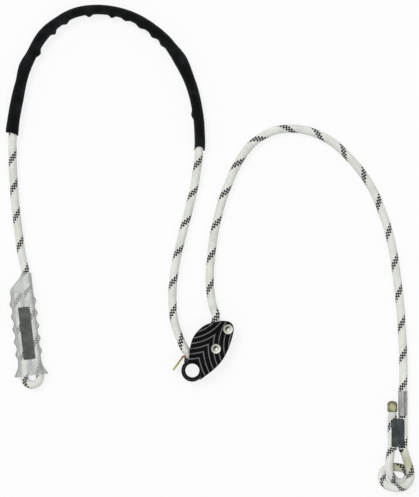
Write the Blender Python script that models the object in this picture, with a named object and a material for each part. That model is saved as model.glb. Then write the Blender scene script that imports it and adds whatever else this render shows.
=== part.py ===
"""Tree climbing lanyard: a kernmantle rope with two sewn eyes, a wear sleeve and a rope adjuster.

Metres, +Z up. It lies flat on the ground, z = 0, with the origin under the middle of its outline.
Seen from above, the adjuster hangs in the middle, the sleeve arches over the left half, and the
two sewn eyes end the rope at the far left and the far right.
"""

import math

import bmesh
import bpy
from mathutils import Vector

# The rope, and the play that every fit shares
ROPE_DIAMETER = 0.011
ROPE_RADIUS = ROPE_DIAMETER / 2
CLEARANCE = 0.0003
CUTTER_OVERRUN = 0.002
WELD = 1e-7

# How finely round things are drawn
LOAD_SIDE_STEP = 0.016
FREE_SIDE_STEP = 0.026
SEWN_ROPE_STEP = 0.0056
ADJUSTER_ROPE_STEP = 0.0045
SLEEVE_STEP = 0.0095
ROPE_SIDES = 10
ROUND_SIDES = 24
PIN_SIDES = 16

# The rope adjuster: where its pivot stands, and its two plates
ADJUSTER_X = 0.00871
ADJUSTER_Y = -0.1334
PLATE_WIDTH = 0.0593
PLATE_LENGTH = 0.0757
PLATE_THICKNESS = 0.003
PLATE_CHAMFER = 0.0005
ROPE_SIDE_PLAY = 0.0005
PLATE_GAP = ROPE_DIAMETER + 2 * ROPE_SIDE_PLAY

# Its rivets, of which the lower one is the pivot and the upper one the post
HEAD_RADIUS = 0.0065
HEAD_PROUD = 0.0006
HEAD_CHAMFER = 0.0006
COUNTERBORE_DEPTH = 0.0008
BARREL_RADIUS = 0.0035
DISH_RADIUS = 0.0034
DISH_FLOOR_RADIUS = 0.0021
DISH_DEPTH = 0.0026
DISH_LIP = 0.0009
SPACER_WALL = 0.0014

# Its cam arm, with the eye for a connector
EYE_ACROSS = 0.03131
EYE_BELOW = 0.02937
EYE_RADIUS = 0.0094
EYE_WALL = 0.0052
EYE_TOP_WALL = 0.0029
EYE_CHAMFER = 0.0008
CUTOUT_MARGIN = 0.0016
PLATE_TIP_LENGTH = 0.0014
PLATE_HORN_LENGTH = 0.0009
CAM_RADIUS = 0.0125
HUB_RADIUS = 0.0078
BUSH_WALL = 0.001
NECK_RECESS = 0.0006
CAM_RECESS = 0.0003
NECK_HUB_SHARE = 0.8
NECK_EYE_SHARE = 0.75
LUG_RECESS = 0.0009
WASHER_THICKNESS = 0.0004
WASHER_RADIUS = 0.0071
STOP_PIN_RADIUS = 0.0015
STOP_PIN_REACH = 0.0135
DOWEL_RADIUS = 0.0015
BLIND_DEPTH = 0.0015

# Its release lever, a bent strip that is pinned in a lug on the eye
LEVER_PIN_RADIUS = 0.0012
LEVER_PIN_OUT = 0.0152
LEVER_THICKNESS = 0.0022
LEVER_BEND = 0.0014
LEVER_WIDTH = 0.0092
SHANK_WIDTH = 0.005
SHANK_LENGTH = 0.0044
LEVER_INNER = 0.0079
LEVER_OUTER = 0.0244
LUG_RADIUS = 0.0031
KNUCKLE_RADIUS = 0.0027
SHANK_LAP_SHARE = 1.1
SHANK_THICKNESS_SHARE = 0.92
SHANK_SLIM_SHARE = 0.04

# The sewn eyes: two legs pressed flat, threads above and below, and a web of thread between
FLAT_HALF_WIDTH = 0.0064
FLAT_HALF_HEIGHT = 0.0046
FLATTENING = 0.0048
SEAM_MARGIN = 0.0016
THREAD_THICKNESS = 0.0007
WEB_THICKNESS = 0.0006
LEG_OFFSET = FLAT_HALF_WIDTH + CLEARANCE + WEB_THICKNESS / 2
LAYER_GAP_SHARE = 0.05

# Left eye, under a clear crimped cover
LEFT_X = -0.2356
LEFT_Y = -0.1715
LEFT_TILT = math.radians(6.6)
LEFT_LOOP_RADIUS = 0.0105
LEFT_SEAM_START = 0.024
LEFT_SEAM_LENGTH = 0.0695
LEFT_SEAM_WIDTH = 0.016
LEFT_TAIL_LENGTH = 0.113
LEFT_SPLAY_SHARE = 0.4
MELTED_SHARES = (1, 0.97, 0.86, 0.6)
COVER_START = 0.0014
COVER_LENGTH = 0.1364
COVER_WALL = 0.0006
COVER_STEP = 0.0046
COVER_SHOULDER = 0.023
COVER_ENTRY = 0.006
COVER_HEM = 0.002
SCALLOP_DEPTH = 0.0026
SCALLOP_PITCH = 0.0168
SCALLOP_COUNT = 5
SCALLOP_START = 0.0315
LIP_WIDTH = 0.0046
LIP_LENGTH = 0.0122
LIP_ROUNDING = 0.0014
LIP_END_SHARE = 0.4

# Right eye, a round turn with a shrink sleeve on its standing leg and a cap on its tail
RIGHT_X = 0.2504
RIGHT_Y = -0.264
RIGHT_SEAM_LENGTH = 0.036
RIGHT_SEAM_WIDTH = 0.0176
SHRINK_START = 0.0413
SHRINK_LENGTH = 0.0324
SHRINK_WALL = 0.0008
SHRINK_ENTRY = 0.0057
CAP_START = 0.0465
CAP_LENGTH = 0.0141
CAP_WALL = 0.0008
CAP_DOME = 0.0045

# The wear sleeve round the long strand
SLEEVE_EASE = 0.001
SLEEVE_WALL = 0.001
SLEEVE_HALF_WIDTH = 0.0081
SLEEVE_FLARE = 0.0013
WRINKLE_HEIGHT = 0.0022
WRINKLE_LENGTH = 0.009

# Heights of the plates and of everything between them
REAR_PLATE_BOTTOM = HEAD_PROUD
GAP_BOTTOM = REAR_PLATE_BOTTOM + PLATE_THICKNESS
GAP_TOP = GAP_BOTTOM + PLATE_GAP
FRONT_PLATE_TOP = GAP_TOP + PLATE_THICKNESS
HEAD_TOP = FRONT_PLATE_TOP + HEAD_PROUD
GAP_MIDDLE = (GAP_BOTTOM + GAP_TOP) / 2
ARM_BOTTOM = GAP_BOTTOM + CLEARANCE + WASHER_THICKNESS + CLEARANCE
ARM_TOP = GAP_TOP - CLEARANCE - WASHER_THICKNESS - CLEARANCE

# Heights of the rope's centre line
GROUND_ROPE = ROPE_RADIUS
SLEEVE_ROPE = SLEEVE_WALL + SLEEVE_EASE + ROPE_RADIUS
COVERED_ROPE = COVER_WALL + CLEARANCE + THREAD_THICKNESS + CLEARANCE + FLAT_HALF_HEIGHT
SHRUNK_ROPE = SHRINK_WALL + CLEARANCE + ROPE_RADIUS
UPPER_LAYER = 3 * ROPE_RADIUS + LAYER_GAP_SHARE * ROPE_DIAMETER

# Places on the adjuster, from its pivot, as shares of the plate's width and length
POST_SHARES = (0.270, 0.342)
DOWEL_SHARES = ((-0.447, 0.079), (-0.295, 0.291))
PLATE_SHARES = (
    (-0.224, -0.469), (-0.086, -0.387), (0.052, -0.288), (0.167, -0.172), (0.248, -0.054), (0.305, 0.054),
    (0.351, 0.162), (0.384, 0.262), (0.397, 0.345), (0.379, 0.408), (0.325, 0.452), (0.230, 0.474),
    (0.029, 0.474), (-0.201, 0.420), (-0.317, 0.366), (-0.408, 0.301), (-0.489, 0.217), (-0.540, 0.135),
    (-0.570, 0.045), (-0.589, -0.045), (-0.600, -0.135),
)
PLATE_TIP_ANGLE = math.radians(-46)
CUTOUT_FROM = math.radians(112)
CUTOUT_TO = math.radians(-52)

# The rope through the adjuster: over the eye and past the pivot it keeps its distance from them, as
# shares of the distance at which it clears their metal, and at the top it follows the plates
ROPE_OVER_EYE_SHARES = (1.391, 1.203, 1.045, 0.998, 1.079, 1.295)
ROPE_OVER_EYE_ANGLES = (104.46, 101.31, 94.50, 83.21, 71.77, 63.88)
ROPE_PAST_PIVOT_SHARES = (1.291, 1.055, 1.091)
ROPE_PAST_PIVOT_ANGLES = (194.23, 174.86, 152.01)
ROPE_AT_TOP_SHARES = (
    (-0.204, 0.165), (-0.169, 0.231), (-0.120, 0.284), (-0.069, 0.325), (-0.034, 0.363), (-0.020, 0.403),
    (-0.019, 0.443),
)
LEVER_LUG_ANGLE = math.radians(121)
LEVER_INNER_ANGLE = math.radians(113.6)
LEVER_OUTER_ANGLE = math.radians(234)

# Routes of the rope on the ground, chosen by hand on smooth curves
LOAD_SIDE_ROUTE = (
    (-0.2475, -0.0195, COVERED_ROPE), (-0.2513, 0.0005, GROUND_ROPE), (-0.2545, 0.0258, GROUND_ROPE),
    (-0.2577, 0.0520, GROUND_ROPE), (-0.2600, 0.0800, GROUND_ROPE), (-0.2616, 0.1080, GROUND_ROPE),
    (-0.2619, 0.1320, 0.5 * (GROUND_ROPE + SLEEVE_ROPE)), (-0.2612, 0.1515, SLEEVE_ROPE),
    (-0.2594, 0.1740, SLEEVE_ROPE), (-0.2555, 0.1970, SLEEVE_ROPE), (-0.2498, 0.2200, SLEEVE_ROPE),
    (-0.2412, 0.2450, SLEEVE_ROPE), (-0.2262, 0.2735, SLEEVE_ROPE), (-0.2060, 0.2965, SLEEVE_ROPE),
    (-0.1785, 0.3125, SLEEVE_ROPE), (-0.1450, 0.3166, SLEEVE_ROPE), (-0.1115, 0.3105, SLEEVE_ROPE),
    (-0.0830, 0.2965, SLEEVE_ROPE), (-0.0575, 0.2750, SLEEVE_ROPE), (-0.0375, 0.2460, SLEEVE_ROPE),
    (-0.0235, 0.2130, SLEEVE_ROPE), (-0.0155, 0.1780, SLEEVE_ROPE), (-0.0133, 0.1480, SLEEVE_ROPE),
    (-0.0136, 0.1300, SLEEVE_ROPE), (-0.0157, 0.1090, 0.5 * (GROUND_ROPE + SLEEVE_ROPE)),
    (-0.0200, 0.0820, GROUND_ROPE), (-0.0268, 0.0530, GROUND_ROPE), (-0.0335, 0.0270, GROUND_ROPE),
    (-0.0395, 0.0035, GROUND_ROPE), (-0.0445, -0.0200, GROUND_ROPE), (-0.0480, -0.0430, GROUND_ROPE),
    (-0.0491, -0.0640, GROUND_ROPE), (-0.0483, -0.0850, 0.5 * (GROUND_ROPE + GAP_MIDDLE)),
    (-0.0448, -0.1045, GAP_MIDDLE),
)
SLEEVE_FROM = 0.1515
SLEEVE_TO = 0.1300
FREE_SIDE_ROUTE = (
    (0.0054, -0.0800, GAP_MIDDLE), (0.0024, -0.0660, 0.5 * (GROUND_ROPE + GAP_MIDDLE)),
    (0.0006, -0.0490, GROUND_ROPE), (0.0007, -0.0320, GROUND_ROPE), (0.0023, -0.0130, GROUND_ROPE),
    (0.0045, 0.0060, GROUND_ROPE), (0.0078, 0.0260, GROUND_ROPE), (0.0122, 0.0450, GROUND_ROPE),
    (0.0176, 0.0640, GROUND_ROPE), (0.0248, 0.0840, GROUND_ROPE), (0.0343, 0.1055, GROUND_ROPE),
    (0.0462, 0.1260, GROUND_ROPE), (0.0615, 0.1425, GROUND_ROPE), (0.0800, 0.1535, GROUND_ROPE),
    (0.1010, 0.1585, GROUND_ROPE), (0.1230, 0.1575, GROUND_ROPE), (0.1440, 0.1515, GROUND_ROPE),
    (0.1650, 0.1400, GROUND_ROPE), (0.1860, 0.1205, GROUND_ROPE), (0.2040, 0.0990, GROUND_ROPE),
    (0.2185, 0.0755, GROUND_ROPE), (0.2300, 0.0480, GROUND_ROPE), (0.2390, 0.0200, GROUND_ROPE),
    (0.2455, -0.0100, GROUND_ROPE), (0.2500, -0.0420, GROUND_ROPE), (0.2538, -0.0750, GROUND_ROPE),
    (0.2562, -0.1070, GROUND_ROPE), (0.2578, -0.1360, GROUND_ROPE),
    (0.2583, -0.1610, 0.5 * (GROUND_ROPE + SHRUNK_ROPE)), (0.2580, -0.1780, SHRUNK_ROPE),
)
# The round turn, from the right leg down to the left leg, from the seam's lower end
ROUND_TURN_ROUTE = (
    (0.0086, -0.0060, 0.0066), (0.0112, -0.0160, 0.0100), (0.0140, -0.0260, 0.0152),
    (0.0156, -0.0350, UPPER_LAYER), (0.0140, -0.0440, UPPER_LAYER), (0.0086, -0.0506, UPPER_LAYER),
    (0.0004, -0.0534, UPPER_LAYER), (-0.0078, -0.0530, 0.0164), (-0.0152, -0.0506, 0.0136),
    (-0.0200, -0.0454, 0.0094),
    (-0.0210, -0.0388, 0.0062), (-0.0179, -0.0320, GROUND_ROPE), (-0.0106, -0.0285, GROUND_ROPE),
    (-0.0014, -0.0278, GROUND_ROPE), (0.0074, -0.0294, GROUND_ROPE), (0.0128, -0.0336, GROUND_ROPE),
    (0.0144, -0.0392, GROUND_ROPE), (0.0120, -0.0446, GROUND_ROPE), (0.0066, -0.0476, GROUND_ROPE),
    (0.0008, -0.0476, GROUND_ROPE), (-0.0040, -0.0448, 0.0074), (-0.0076, -0.0406, 0.0110),
    (-0.0108, -0.0354, 0.0154), (-0.0124, -0.0286, UPPER_LAYER), (-0.0120, -0.0200, 0.0150),
    (-0.0102, -0.0110, 0.0104), (-0.0080, -0.0025, 0.0066),
)
WRINKLE_SHARES = (0.24, 0.30, 0.345, 0.405, 0.46, 0.50, 0.545, 0.59, 0.63, 0.91)

COLOURS = {
    "rope": (0.80, 0.82, 0.78, 0.85, 0.0),
    "black plate": (0.012, 0.012, 0.013, 0.38, 0.0),
    "silver": (0.75, 0.75, 0.73, 0.28, 1.0),
    "black metal": (0.02, 0.02, 0.022, 0.35, 0.6),
    "gold": (0.62, 0.33, 0.05, 0.30, 1.0),
    "brass": (0.66, 0.48, 0.20, 0.35, 1.0),
    "steel": (0.50, 0.50, 0.50, 0.35, 1.0),
    "black webbing": (0.010, 0.010, 0.012, 0.90, 0.0),
    "grey thread": (0.10, 0.11, 0.11, 0.90, 0.0),
    "clear cover": (0.62, 0.64, 0.62, 0.30, 0.0),
    "olive cap": (0.34, 0.33, 0.14, 0.35, 0.0),
}


def finish_of(colour):
    """The material of one colour, made once."""
    if colour in bpy.data.materials:
        return bpy.data.materials[colour]
    red, green, blue, roughness, metallic = COLOURS[colour]
    material = bpy.data.materials.new(colour)
    material.use_nodes = True
    shader = material.node_tree.nodes["Principled BSDF"]
    shader.inputs["Base Color"].default_value = (red, green, blue, 1)
    shader.inputs["Roughness"].default_value = roughness
    shader.inputs["Metallic"].default_value = metallic
    material.diffuse_color = (red, green, blue, 1)
    return material


def placed(name, data, colour, parent=None, place=(0, 0, 0), turn=(0, 0, 0)):
    """A named object that holds the mesh or curve, under its parent."""
    solid = bpy.data.objects.new(name, data)
    solid.data.materials.append(finish_of(colour))
    solid.parent = parent
    solid.location = place
    solid.rotation_euler = turn
    bpy.context.scene.collection.objects.link(solid)
    return solid


def mesh_of(work, name):
    """The mesh of a bmesh, with its faces outwards and its round sides smooth."""
    bmesh.ops.remove_doubles(work, verts=work.verts, dist=WELD)
    bmesh.ops.recalc_face_normals(work, faces=work.faces)
    mesh = bpy.data.meshes.new(name)
    work.to_mesh(mesh)
    work.free()
    mesh.shade_smooth()
    mesh.set_sharp_from_angle(angle=math.radians(35))
    return mesh


def skin(name, rings, bore=()):
    """A closed mesh over rings of points, with an open bore where inner rings are given."""
    work = bmesh.new()
    walls = [[[work.verts.new(point) for point in ring] for ring in wall] for wall in (rings, bore) if wall]
    for wall in walls:
        for low, high in zip(wall, wall[1:]):
            for corners in zip(low, low[1:] + low[:1], high[1:] + high[:1], high):
                work.faces.new(corners)
    for end in (0, -1):
        if not bore:
            work.faces.new(walls[0][end])
            continue
        outer, inner = walls[0][end], walls[1][end]
        for corners in zip(outer, outer[1:] + outer[:1], inner[1:] + inner[:1], inner):
            work.faces.new(corners)
    return mesh_of(work, name)


def turned(name, profile, closed=False, rounds=ROUND_SIDES):
    """A mesh turned round Z from (radius, height) points. A closed profile leaves a bore."""
    work = bmesh.new()
    corners = [work.verts.new((radius, 0, height)) for radius, height in profile]
    ends = corners[1:] + corners[:1] if closed else corners[1:]
    sides = [work.edges.new(pair) for pair in zip(corners, ends)]
    bmesh.ops.spin(
        work, geom=corners + sides, cent=(0, 0, 0), axis=(0, 0, 1), angle=math.tau, steps=rounds
    )
    return mesh_of(work, name)


def tube_profile(inner, outer, bottom, top):
    return ((inner, bottom), (outer, bottom), (outer, top), (inner, top))


def pin_profile(radius, bottom, top):
    return ((0, bottom), (radius, bottom), (radius, top), (0, top))


def inset(outline, distance):
    """The outline, which runs anticlockwise, with each corner moved inwards."""
    moved = []
    count = len(outline)
    for index, corner in enumerate(outline):
        corner = Vector(corner)
        before = (corner - Vector(outline[index - 1])).normalized()
        after = (Vector(outline[(index + 1) % count]) - corner).normalized()
        inwards = Vector((-before.y - after.y, before.x + after.x)).normalized()
        moved.append(corner + inwards * distance / max(0.5, math.sqrt((1 + before.dot(after)) / 2)))
    return moved


def prism(name, outline, bottom, top, chamfer=0):
    """A flat piece of this outline, chamfered along both faces."""
    levels = [(bottom, 0), (top, 0)]
    if chamfer:
        levels = [(bottom, chamfer), (bottom + chamfer, 0), (top - chamfer, 0), (top, chamfer)]
    return skin(name, [[(x, y, height) for x, y in inset(outline, cut)] for height, cut in levels])


def cut(solid, name, mesh, operation="DIFFERENCE", place=(0, 0, 0), turn=0):
    """Applies a hidden cutter, or a hidden addition, in the same frame as the solid."""
    tool = bpy.data.objects.new(name, mesh)
    tool.parent = solid.parent
    tool.location = Vector(solid.location) + Vector(place)
    tool.rotation_euler = (0, 0, turn)
    tool.hide_render = True
    tool.display_type = "WIRE"
    bpy.context.scene.collection.objects.link(tool)
    boolean = solid.modifiers.new(name, "BOOLEAN")
    boolean.operation = operation
    boolean.object = tool


def even_shading(solid):
    """Keeps the flat faces of a cut solid flat to the eye."""
    shading = solid.modifiers.new("even_shading", "WEIGHTED_NORMAL")
    shading.weight = 100


def smooth_path(points, steps):
    """A smooth curve through the points, with this many steps from each to the next."""
    spots = [Vector(point) for point in points]
    spots = [2 * spots[0] - spots[1]] + spots + [2 * spots[-1] - spots[-2]]
    path = []
    for a, b, c, d in zip(spots, spots[1:], spots[2:], spots[3:]):
        slope, curving, twist = c - a, 2 * a - 5 * b + 4 * c - d, 3 * b - a - 3 * c + d
        for step in range(steps):
            t = step / steps
            path.append(b + 0.5 * (slope * t + curving * t**2 + twist * t**3))
    return path + [spots[-2]]


def length_of(path):
    return sum((b - a).length for a, b in zip(path, path[1:]))


def evenly_spaced(path, spacing):
    """Points at about this spacing along a finely drawn path, both ends kept."""
    total = length_of(path)
    count = max(2, round(total / spacing))
    spots, walked, wanted = [path[0]], 0, total / count
    for a, b in zip(path, path[1:]):
        stride = (b - a).length
        while walked + stride >= wanted and len(spots) < count:
            spots.append(a.lerp(b, (wanted - walked) / stride))
            wanted += total / count
        walked += stride
    return spots + [path[-1]]


def flat_polar(radius, angle):
    return Vector((radius * math.cos(angle), radius * math.sin(angle)))


def ease(value):
    """0 to 1 with soft ends."""
    value = min(1, max(0, value))
    return value * value * (3 - 2 * value)


def rings_along(path, section):
    """A ring of points square to the path at each of its points. The section gives, for a point and
    its index, how far the ring reaches to the left, to the right, and up and down."""
    rings = []
    for index, spot in enumerate(path):
        ahead = (path[min(index + 1, len(path) - 1)] - path[max(index - 1, 0)]).normalized()
        right = ahead.cross(Vector((0, 0, 1))).normalized()
        up = right.cross(ahead)
        to_left, to_right, height = section(spot, index)
        ring = []
        for side in range(ROPE_SIDES):
            angle = math.tau * (side + 0.5) / ROPE_SIDES
            reach = to_right if math.cos(angle) > 0 else to_left
            ring.append(spot + right * reach * math.cos(angle) + up * height * math.sin(angle))
        rings.append(ring)
    return rings


def rope_tube(name, path):
    """A length of round rope along these points."""
    curve = bpy.data.curves.new(name, "CURVE")
    curve.dimensions = "3D"
    curve.bevel_depth = ROPE_RADIUS
    curve.bevel_resolution = 3
    curve.use_fill_caps = True
    line = curve.splines.new("POLY")
    line.points.add(len(path) - 1)
    for spot, place in zip(line.points, path):
        spot.co = (*place, 1)
    return placed(name, curve, "rope")


def frame_at(name, x, y, turn=0):
    frame = bpy.data.objects.new(name, None)
    frame.location = (x, y, 0)
    frame.rotation_euler = (0, 0, turn)
    bpy.context.scene.collection.objects.link(frame)
    return frame


def on_plate(shares):
    return Vector((shares[0] * PLATE_WIDTH, shares[1] * PLATE_LENGTH))


def eye_place():
    """The middle of the connector's eye, from the pivot."""
    return Vector((-EYE_ACROSS, -EYE_BELOW))


def adjuster_rope():
    """The rope's centre line through the adjuster, from the load side to the free side."""
    over_eye = EYE_RADIUS + EYE_TOP_WALL + CLEARANCE + ROPE_RADIUS
    past_pivot = HUB_RADIUS + CLEARANCE + ROPE_RADIUS
    route = [
        eye_place() + flat_polar(over_eye * share, math.radians(angle))
        for share, angle in zip(ROPE_OVER_EYE_SHARES, ROPE_OVER_EYE_ANGLES)
    ]
    route += [
        flat_polar(past_pivot * share, math.radians(angle))
        for share, angle in zip(ROPE_PAST_PIVOT_SHARES, ROPE_PAST_PIVOT_ANGLES)
    ]
    route += [on_plate(shares) for shares in ROPE_AT_TOP_SHARES]
    return smooth_path([(*spot, GAP_MIDDLE) for spot in route], 3)


def plate_outline():
    """The plate's outline, anticlockwise, with the cut-out that keeps the eye free."""
    eye = eye_place()
    tip = eye + flat_polar(EYE_RADIUS + EYE_WALL + PLATE_TIP_LENGTH, PLATE_TIP_ANGLE)
    horn = eye + flat_polar(EYE_RADIUS + CUTOUT_MARGIN + PLATE_HORN_LENGTH, CUTOUT_FROM)
    edge = smooth_path([tip, *[on_plate(shares) for shares in PLATE_SHARES], horn], 2)
    steps = 10
    for step in range(steps + 1):
        angle = CUTOUT_FROM + (CUTOUT_TO - CUTOUT_FROM) * step / steps
        margin = CUTOUT_MARGIN * (1 + step / steps)
        edge.append(eye + flat_polar(EYE_RADIUS + margin, angle))
    return edge


def arm_travel():
    """The turn that brings the eye's rim up to the lower end of the plates' cut-out."""
    return 2 * CUTOUT_MARGIN / eye_place().length


def rope_channel():
    """The outline that the rope and its clearance sweep through the adjuster."""
    path = [Vector((spot.x, spot.y)) for spot in adjuster_rope()]
    path[0] += (path[0] - path[1]).normalized() * ROPE_DIAMETER
    path[-1] += (path[-1] - path[-2]).normalized() * ROPE_DIAMETER
    left, right = [], []
    for index, spot in enumerate(path):
        ahead = (path[min(index + 1, len(path) - 1)] - path[max(index - 1, 0)]).normalized()
        aside = Vector((-ahead.y, ahead.x)) * (ROPE_RADIUS + CLEARANCE)
        left.append(spot + aside)
        right.append(spot - aside)
    return right + left[::-1]


def make_plate(name, bottom, adjuster):
    """One side plate, with its rivet holes, counterbores and blind holes for pins."""
    top = bottom + PLATE_THICKNESS
    front = bottom > GAP_BOTTOM
    plate = placed(name, prism(name, plate_outline(), bottom, top, PLATE_CHAMFER), "black plate", adjuster)
    hole = BARREL_RADIUS + CLEARANCE
    bore = HEAD_RADIUS + CLEARANCE
    floor = top - COUNTERBORE_DEPTH if front else bottom + COUNTERBORE_DEPTH
    outside = top + CUTTER_OVERRUN if front else bottom - CUTTER_OVERRUN
    inside = bottom - CUTTER_OVERRUN if front else top + CUTTER_OVERRUN
    stepped = ((0, inside), (hole, inside), (hole, floor), (bore, floor), (bore, outside), (0, outside))
    for rivet, place in (("pivot", Vector((0, 0))), ("post", on_plate(POST_SHARES))):
        cut(plate, f"{name}_{rivet}_hole", turned(f"{rivet}_hole", stepped), place=(*place, 0))
    blind_end = bottom + BLIND_DEPTH if front else top - BLIND_DEPTH
    for number, (place, radius) in enumerate(pins_between_plates()):
        blind = pin_profile(radius + CLEARANCE, *sorted((inside, blind_end)))
        blind_hole = turned("blind_hole", blind, rounds=PIN_SIDES)
        cut(plate, f"{name}_blind_hole_{number}", blind_hole, place=(*place, 0))
    return plate


def pins_between_plates():
    """Place and radius of the dowels and of the arm's stop pin."""
    dowels = [(on_plate(shares), DOWEL_RADIUS) for shares in DOWEL_SHARES]
    return dowels + [(stop_pin_place(), STOP_PIN_RADIUS)]


def neck_side():
    """The direction square to the arm's lower flank, and the one along it to the eye."""
    eye = eye_place()
    spread = math.asin((EYE_RADIUS + EYE_WALL - HUB_RADIUS) / eye.length)
    square = math.atan2(eye.y, eye.x) + math.pi / 2 + spread
    return square, square - math.pi / 2


def stop_pin_place():
    """Beside the arm's lower flank, where it stands at the end of its travel."""
    square, along = neck_side()
    out = HUB_RADIUS + CLEARANCE + STOP_PIN_RADIUS
    return flat_polar(out, square + arm_travel()) + flat_polar(STOP_PIN_REACH, along + arm_travel())


def make_rivet(name, place, adjuster):
    """A rivet with a dished head in the counterbore of each plate."""
    middle = HEAD_TOP / 2
    underside = FRONT_PLATE_TOP - COUNTERBORE_DEPTH + CLEARANCE
    upper = (
        (0, HEAD_TOP - DISH_DEPTH), (DISH_FLOOR_RADIUS, HEAD_TOP - DISH_DEPTH),
        (DISH_RADIUS, HEAD_TOP - DISH_LIP), (DISH_RADIUS + DISH_LIP, HEAD_TOP),
        (HEAD_RADIUS - HEAD_CHAMFER, HEAD_TOP), (HEAD_RADIUS, HEAD_TOP - HEAD_CHAMFER),
        (HEAD_RADIUS, underside), (BARREL_RADIUS, underside),
    )
    lower = [(radius, 2 * middle - height) for radius, height in reversed(upper)]
    placed(name, turned(name, [*upper, *lower]), "silver", adjuster, (*place, 0))


def make_between_plates(adjuster):
    """The pieces that hold the plates apart, and the ones that the arm turns on."""
    low, high = GAP_BOTTOM + CLEARANCE, GAP_TOP - CLEARANCE
    inner = BARREL_RADIUS + CLEARANCE
    spacer = tube_profile(inner, inner + SPACER_WALL, low, high)
    spacer_mesh = turned("post_spacer", spacer, True, PIN_SIDES)
    placed("post_spacer", spacer_mesh, "steel", adjuster, (*on_plate(POST_SHARES), 0))
    bush_radius = inner + BUSH_WALL
    bush = tube_profile(inner, bush_radius, low, high)
    placed("pivot_bush", turned("pivot_bush", bush, True, PIN_SIDES), "brass", adjuster)
    for name, bottom in (("rear_arm_washer", low), ("front_arm_washer", high - WASHER_THICKNESS)):
        ring = tube_profile(bush_radius + CLEARANCE, WASHER_RADIUS, bottom, bottom + WASHER_THICKNESS)
        placed(name, turned(name, ring, True, PIN_SIDES), "brass", adjuster)
    seat = BLIND_DEPTH - CLEARANCE
    names = ("lower_saddle_dowel", "upper_saddle_dowel", "arm_stop_pin")
    for name, (place, radius) in zip(names, pins_between_plates()):
        pin = pin_profile(radius, GAP_BOTTOM - seat, GAP_TOP + seat)
        placed(name, turned(name, pin, rounds=PIN_SIDES), "steel", adjuster, (*place, 0))


def make_saddle(adjuster):
    """The block that the rope turns round, filling the plates' upper left side up to the rope."""
    rope = [Vector((spot.x, spot.y)) for spot in adjuster_rope()]
    edge = plate_outline()
    top_exit = min(range(len(edge)), key=lambda index: (edge[index] - rope[-1]).length)
    side_exit = min(range(len(edge)), key=lambda index: (edge[index] - rope[0]).length)
    outline = rope + edge[top_exit + 1:side_exit]
    low, high = GAP_BOTTOM + CLEARANCE, GAP_TOP - CLEARANCE
    saddle = placed("rope_saddle", prism("rope_saddle", outline, low, high), "black metal", adjuster)
    over, under = high + CUTTER_OVERRUN, low - CUTTER_OVERRUN
    cut(saddle, "saddle_rope_channel", prism("saddle_rope_channel", rope_channel(), under, over))
    for number, shares in enumerate(DOWEL_SHARES):
        hole = pin_profile(DOWEL_RADIUS + CLEARANCE, under, over)
        dowel_hole = turned("dowel_hole", hole, rounds=PIN_SIDES)
        cut(saddle, f"dowel_hole_{number}", dowel_hole, place=(*on_plate(shares), 0))


def lever_pin_place():
    return eye_place() + flat_polar(LEVER_PIN_OUT, LEVER_LUG_ANGLE)


def make_cam_arm(adjuster):
    """The arm: hub, cam face, neck, connector eye and the lug of the lever. The rope's channel, at
    rest and at the end of the travel, cuts the cam face and the top of the eye."""
    eye = eye_place()
    ring = EYE_RADIUS + EYE_WALL
    square, along = neck_side()
    across = math.atan2(eye.y, eye.x) - math.pi / 2
    neck = (
        flat_polar(HUB_RADIUS, square), flat_polar(HUB_RADIUS * NECK_HUB_SHARE, across),
        eye + flat_polar(ring * NECK_EYE_SHARE, across), eye + flat_polar(ring, square),
    )
    neck_mesh = prism("arm_neck", neck[::-1], ARM_BOTTOM + NECK_RECESS, ARM_TOP - NECK_RECESS)
    arm = placed("cam_arm", neck_mesh, "black metal", adjuster)
    rim = (
        (0, ARM_BOTTOM), (ring - EYE_CHAMFER, ARM_BOTTOM), (ring, ARM_BOTTOM + EYE_CHAMFER),
        (ring, ARM_TOP - EYE_CHAMFER), (ring - EYE_CHAMFER, ARM_TOP), (0, ARM_TOP),
    )
    cut(arm, "arm_eye_ring", turned("arm_eye_ring", rim), "UNION", (*eye, 0))
    cut(arm, "arm_hub", turned("arm_hub", pin_profile(HUB_RADIUS, ARM_BOTTOM, ARM_TOP)), "UNION")
    cam = prism("arm_cam", cam_outline(), ARM_BOTTOM + CAM_RECESS, ARM_TOP - CAM_RECESS)
    cut(arm, "arm_cam", cam, "UNION")
    lug = lever_pin_place()
    lug_mesh = turned("arm_lug", pin_profile(LUG_RADIUS, ARM_BOTTOM + LUG_RECESS, ARM_TOP - LUG_RECESS))
    cut(arm, "arm_lug", lug_mesh, "UNION", (*lug, 0))
    over, under = ARM_TOP + CUTTER_OVERRUN, ARM_BOTTOM - CUTTER_OVERRUN
    channel = prism("arm_rope_channel", rope_channel(), under, over)
    cut(arm, "arm_rope_channel", channel)
    cut(arm, "arm_rope_channel_biting", channel, turn=-arm_travel())
    bevelled = EYE_RADIUS + EYE_CHAMFER
    hole = (
        (0, under), (bevelled, under), (bevelled, ARM_BOTTOM), (EYE_RADIUS, ARM_BOTTOM + EYE_CHAMFER),
        (EYE_RADIUS, ARM_TOP - EYE_CHAMFER), (bevelled, ARM_TOP), (bevelled, over), (0, over),
    )
    cut(arm, "arm_eye", turned("arm_eye", hole), place=(*eye, 0))
    bush = BARREL_RADIUS + CLEARANCE + BUSH_WALL + CLEARANCE
    cut(arm, "arm_pivot_hole", turned("arm_pivot_hole", pin_profile(bush, under, over)))
    slot_low, slot_high = (GAP_MIDDLE + side * (SHANK_WIDTH / 2 + CLEARANCE) for side in (-1, 1))
    slot_radius = max(LUG_RADIUS, KNUCKLE_RADIUS) + CLEARANCE
    pin_hole = LEVER_PIN_RADIUS + CLEARANCE
    slot = (
        (0, under), (pin_hole, under), (pin_hole, slot_low), (slot_radius, slot_low),
        (slot_radius, slot_high), (pin_hole, slot_high), (pin_hole, over), (0, over),
    )
    cut(arm, "arm_lug_slot", turned("arm_lug_slot", slot), place=(*lug, 0))


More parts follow.
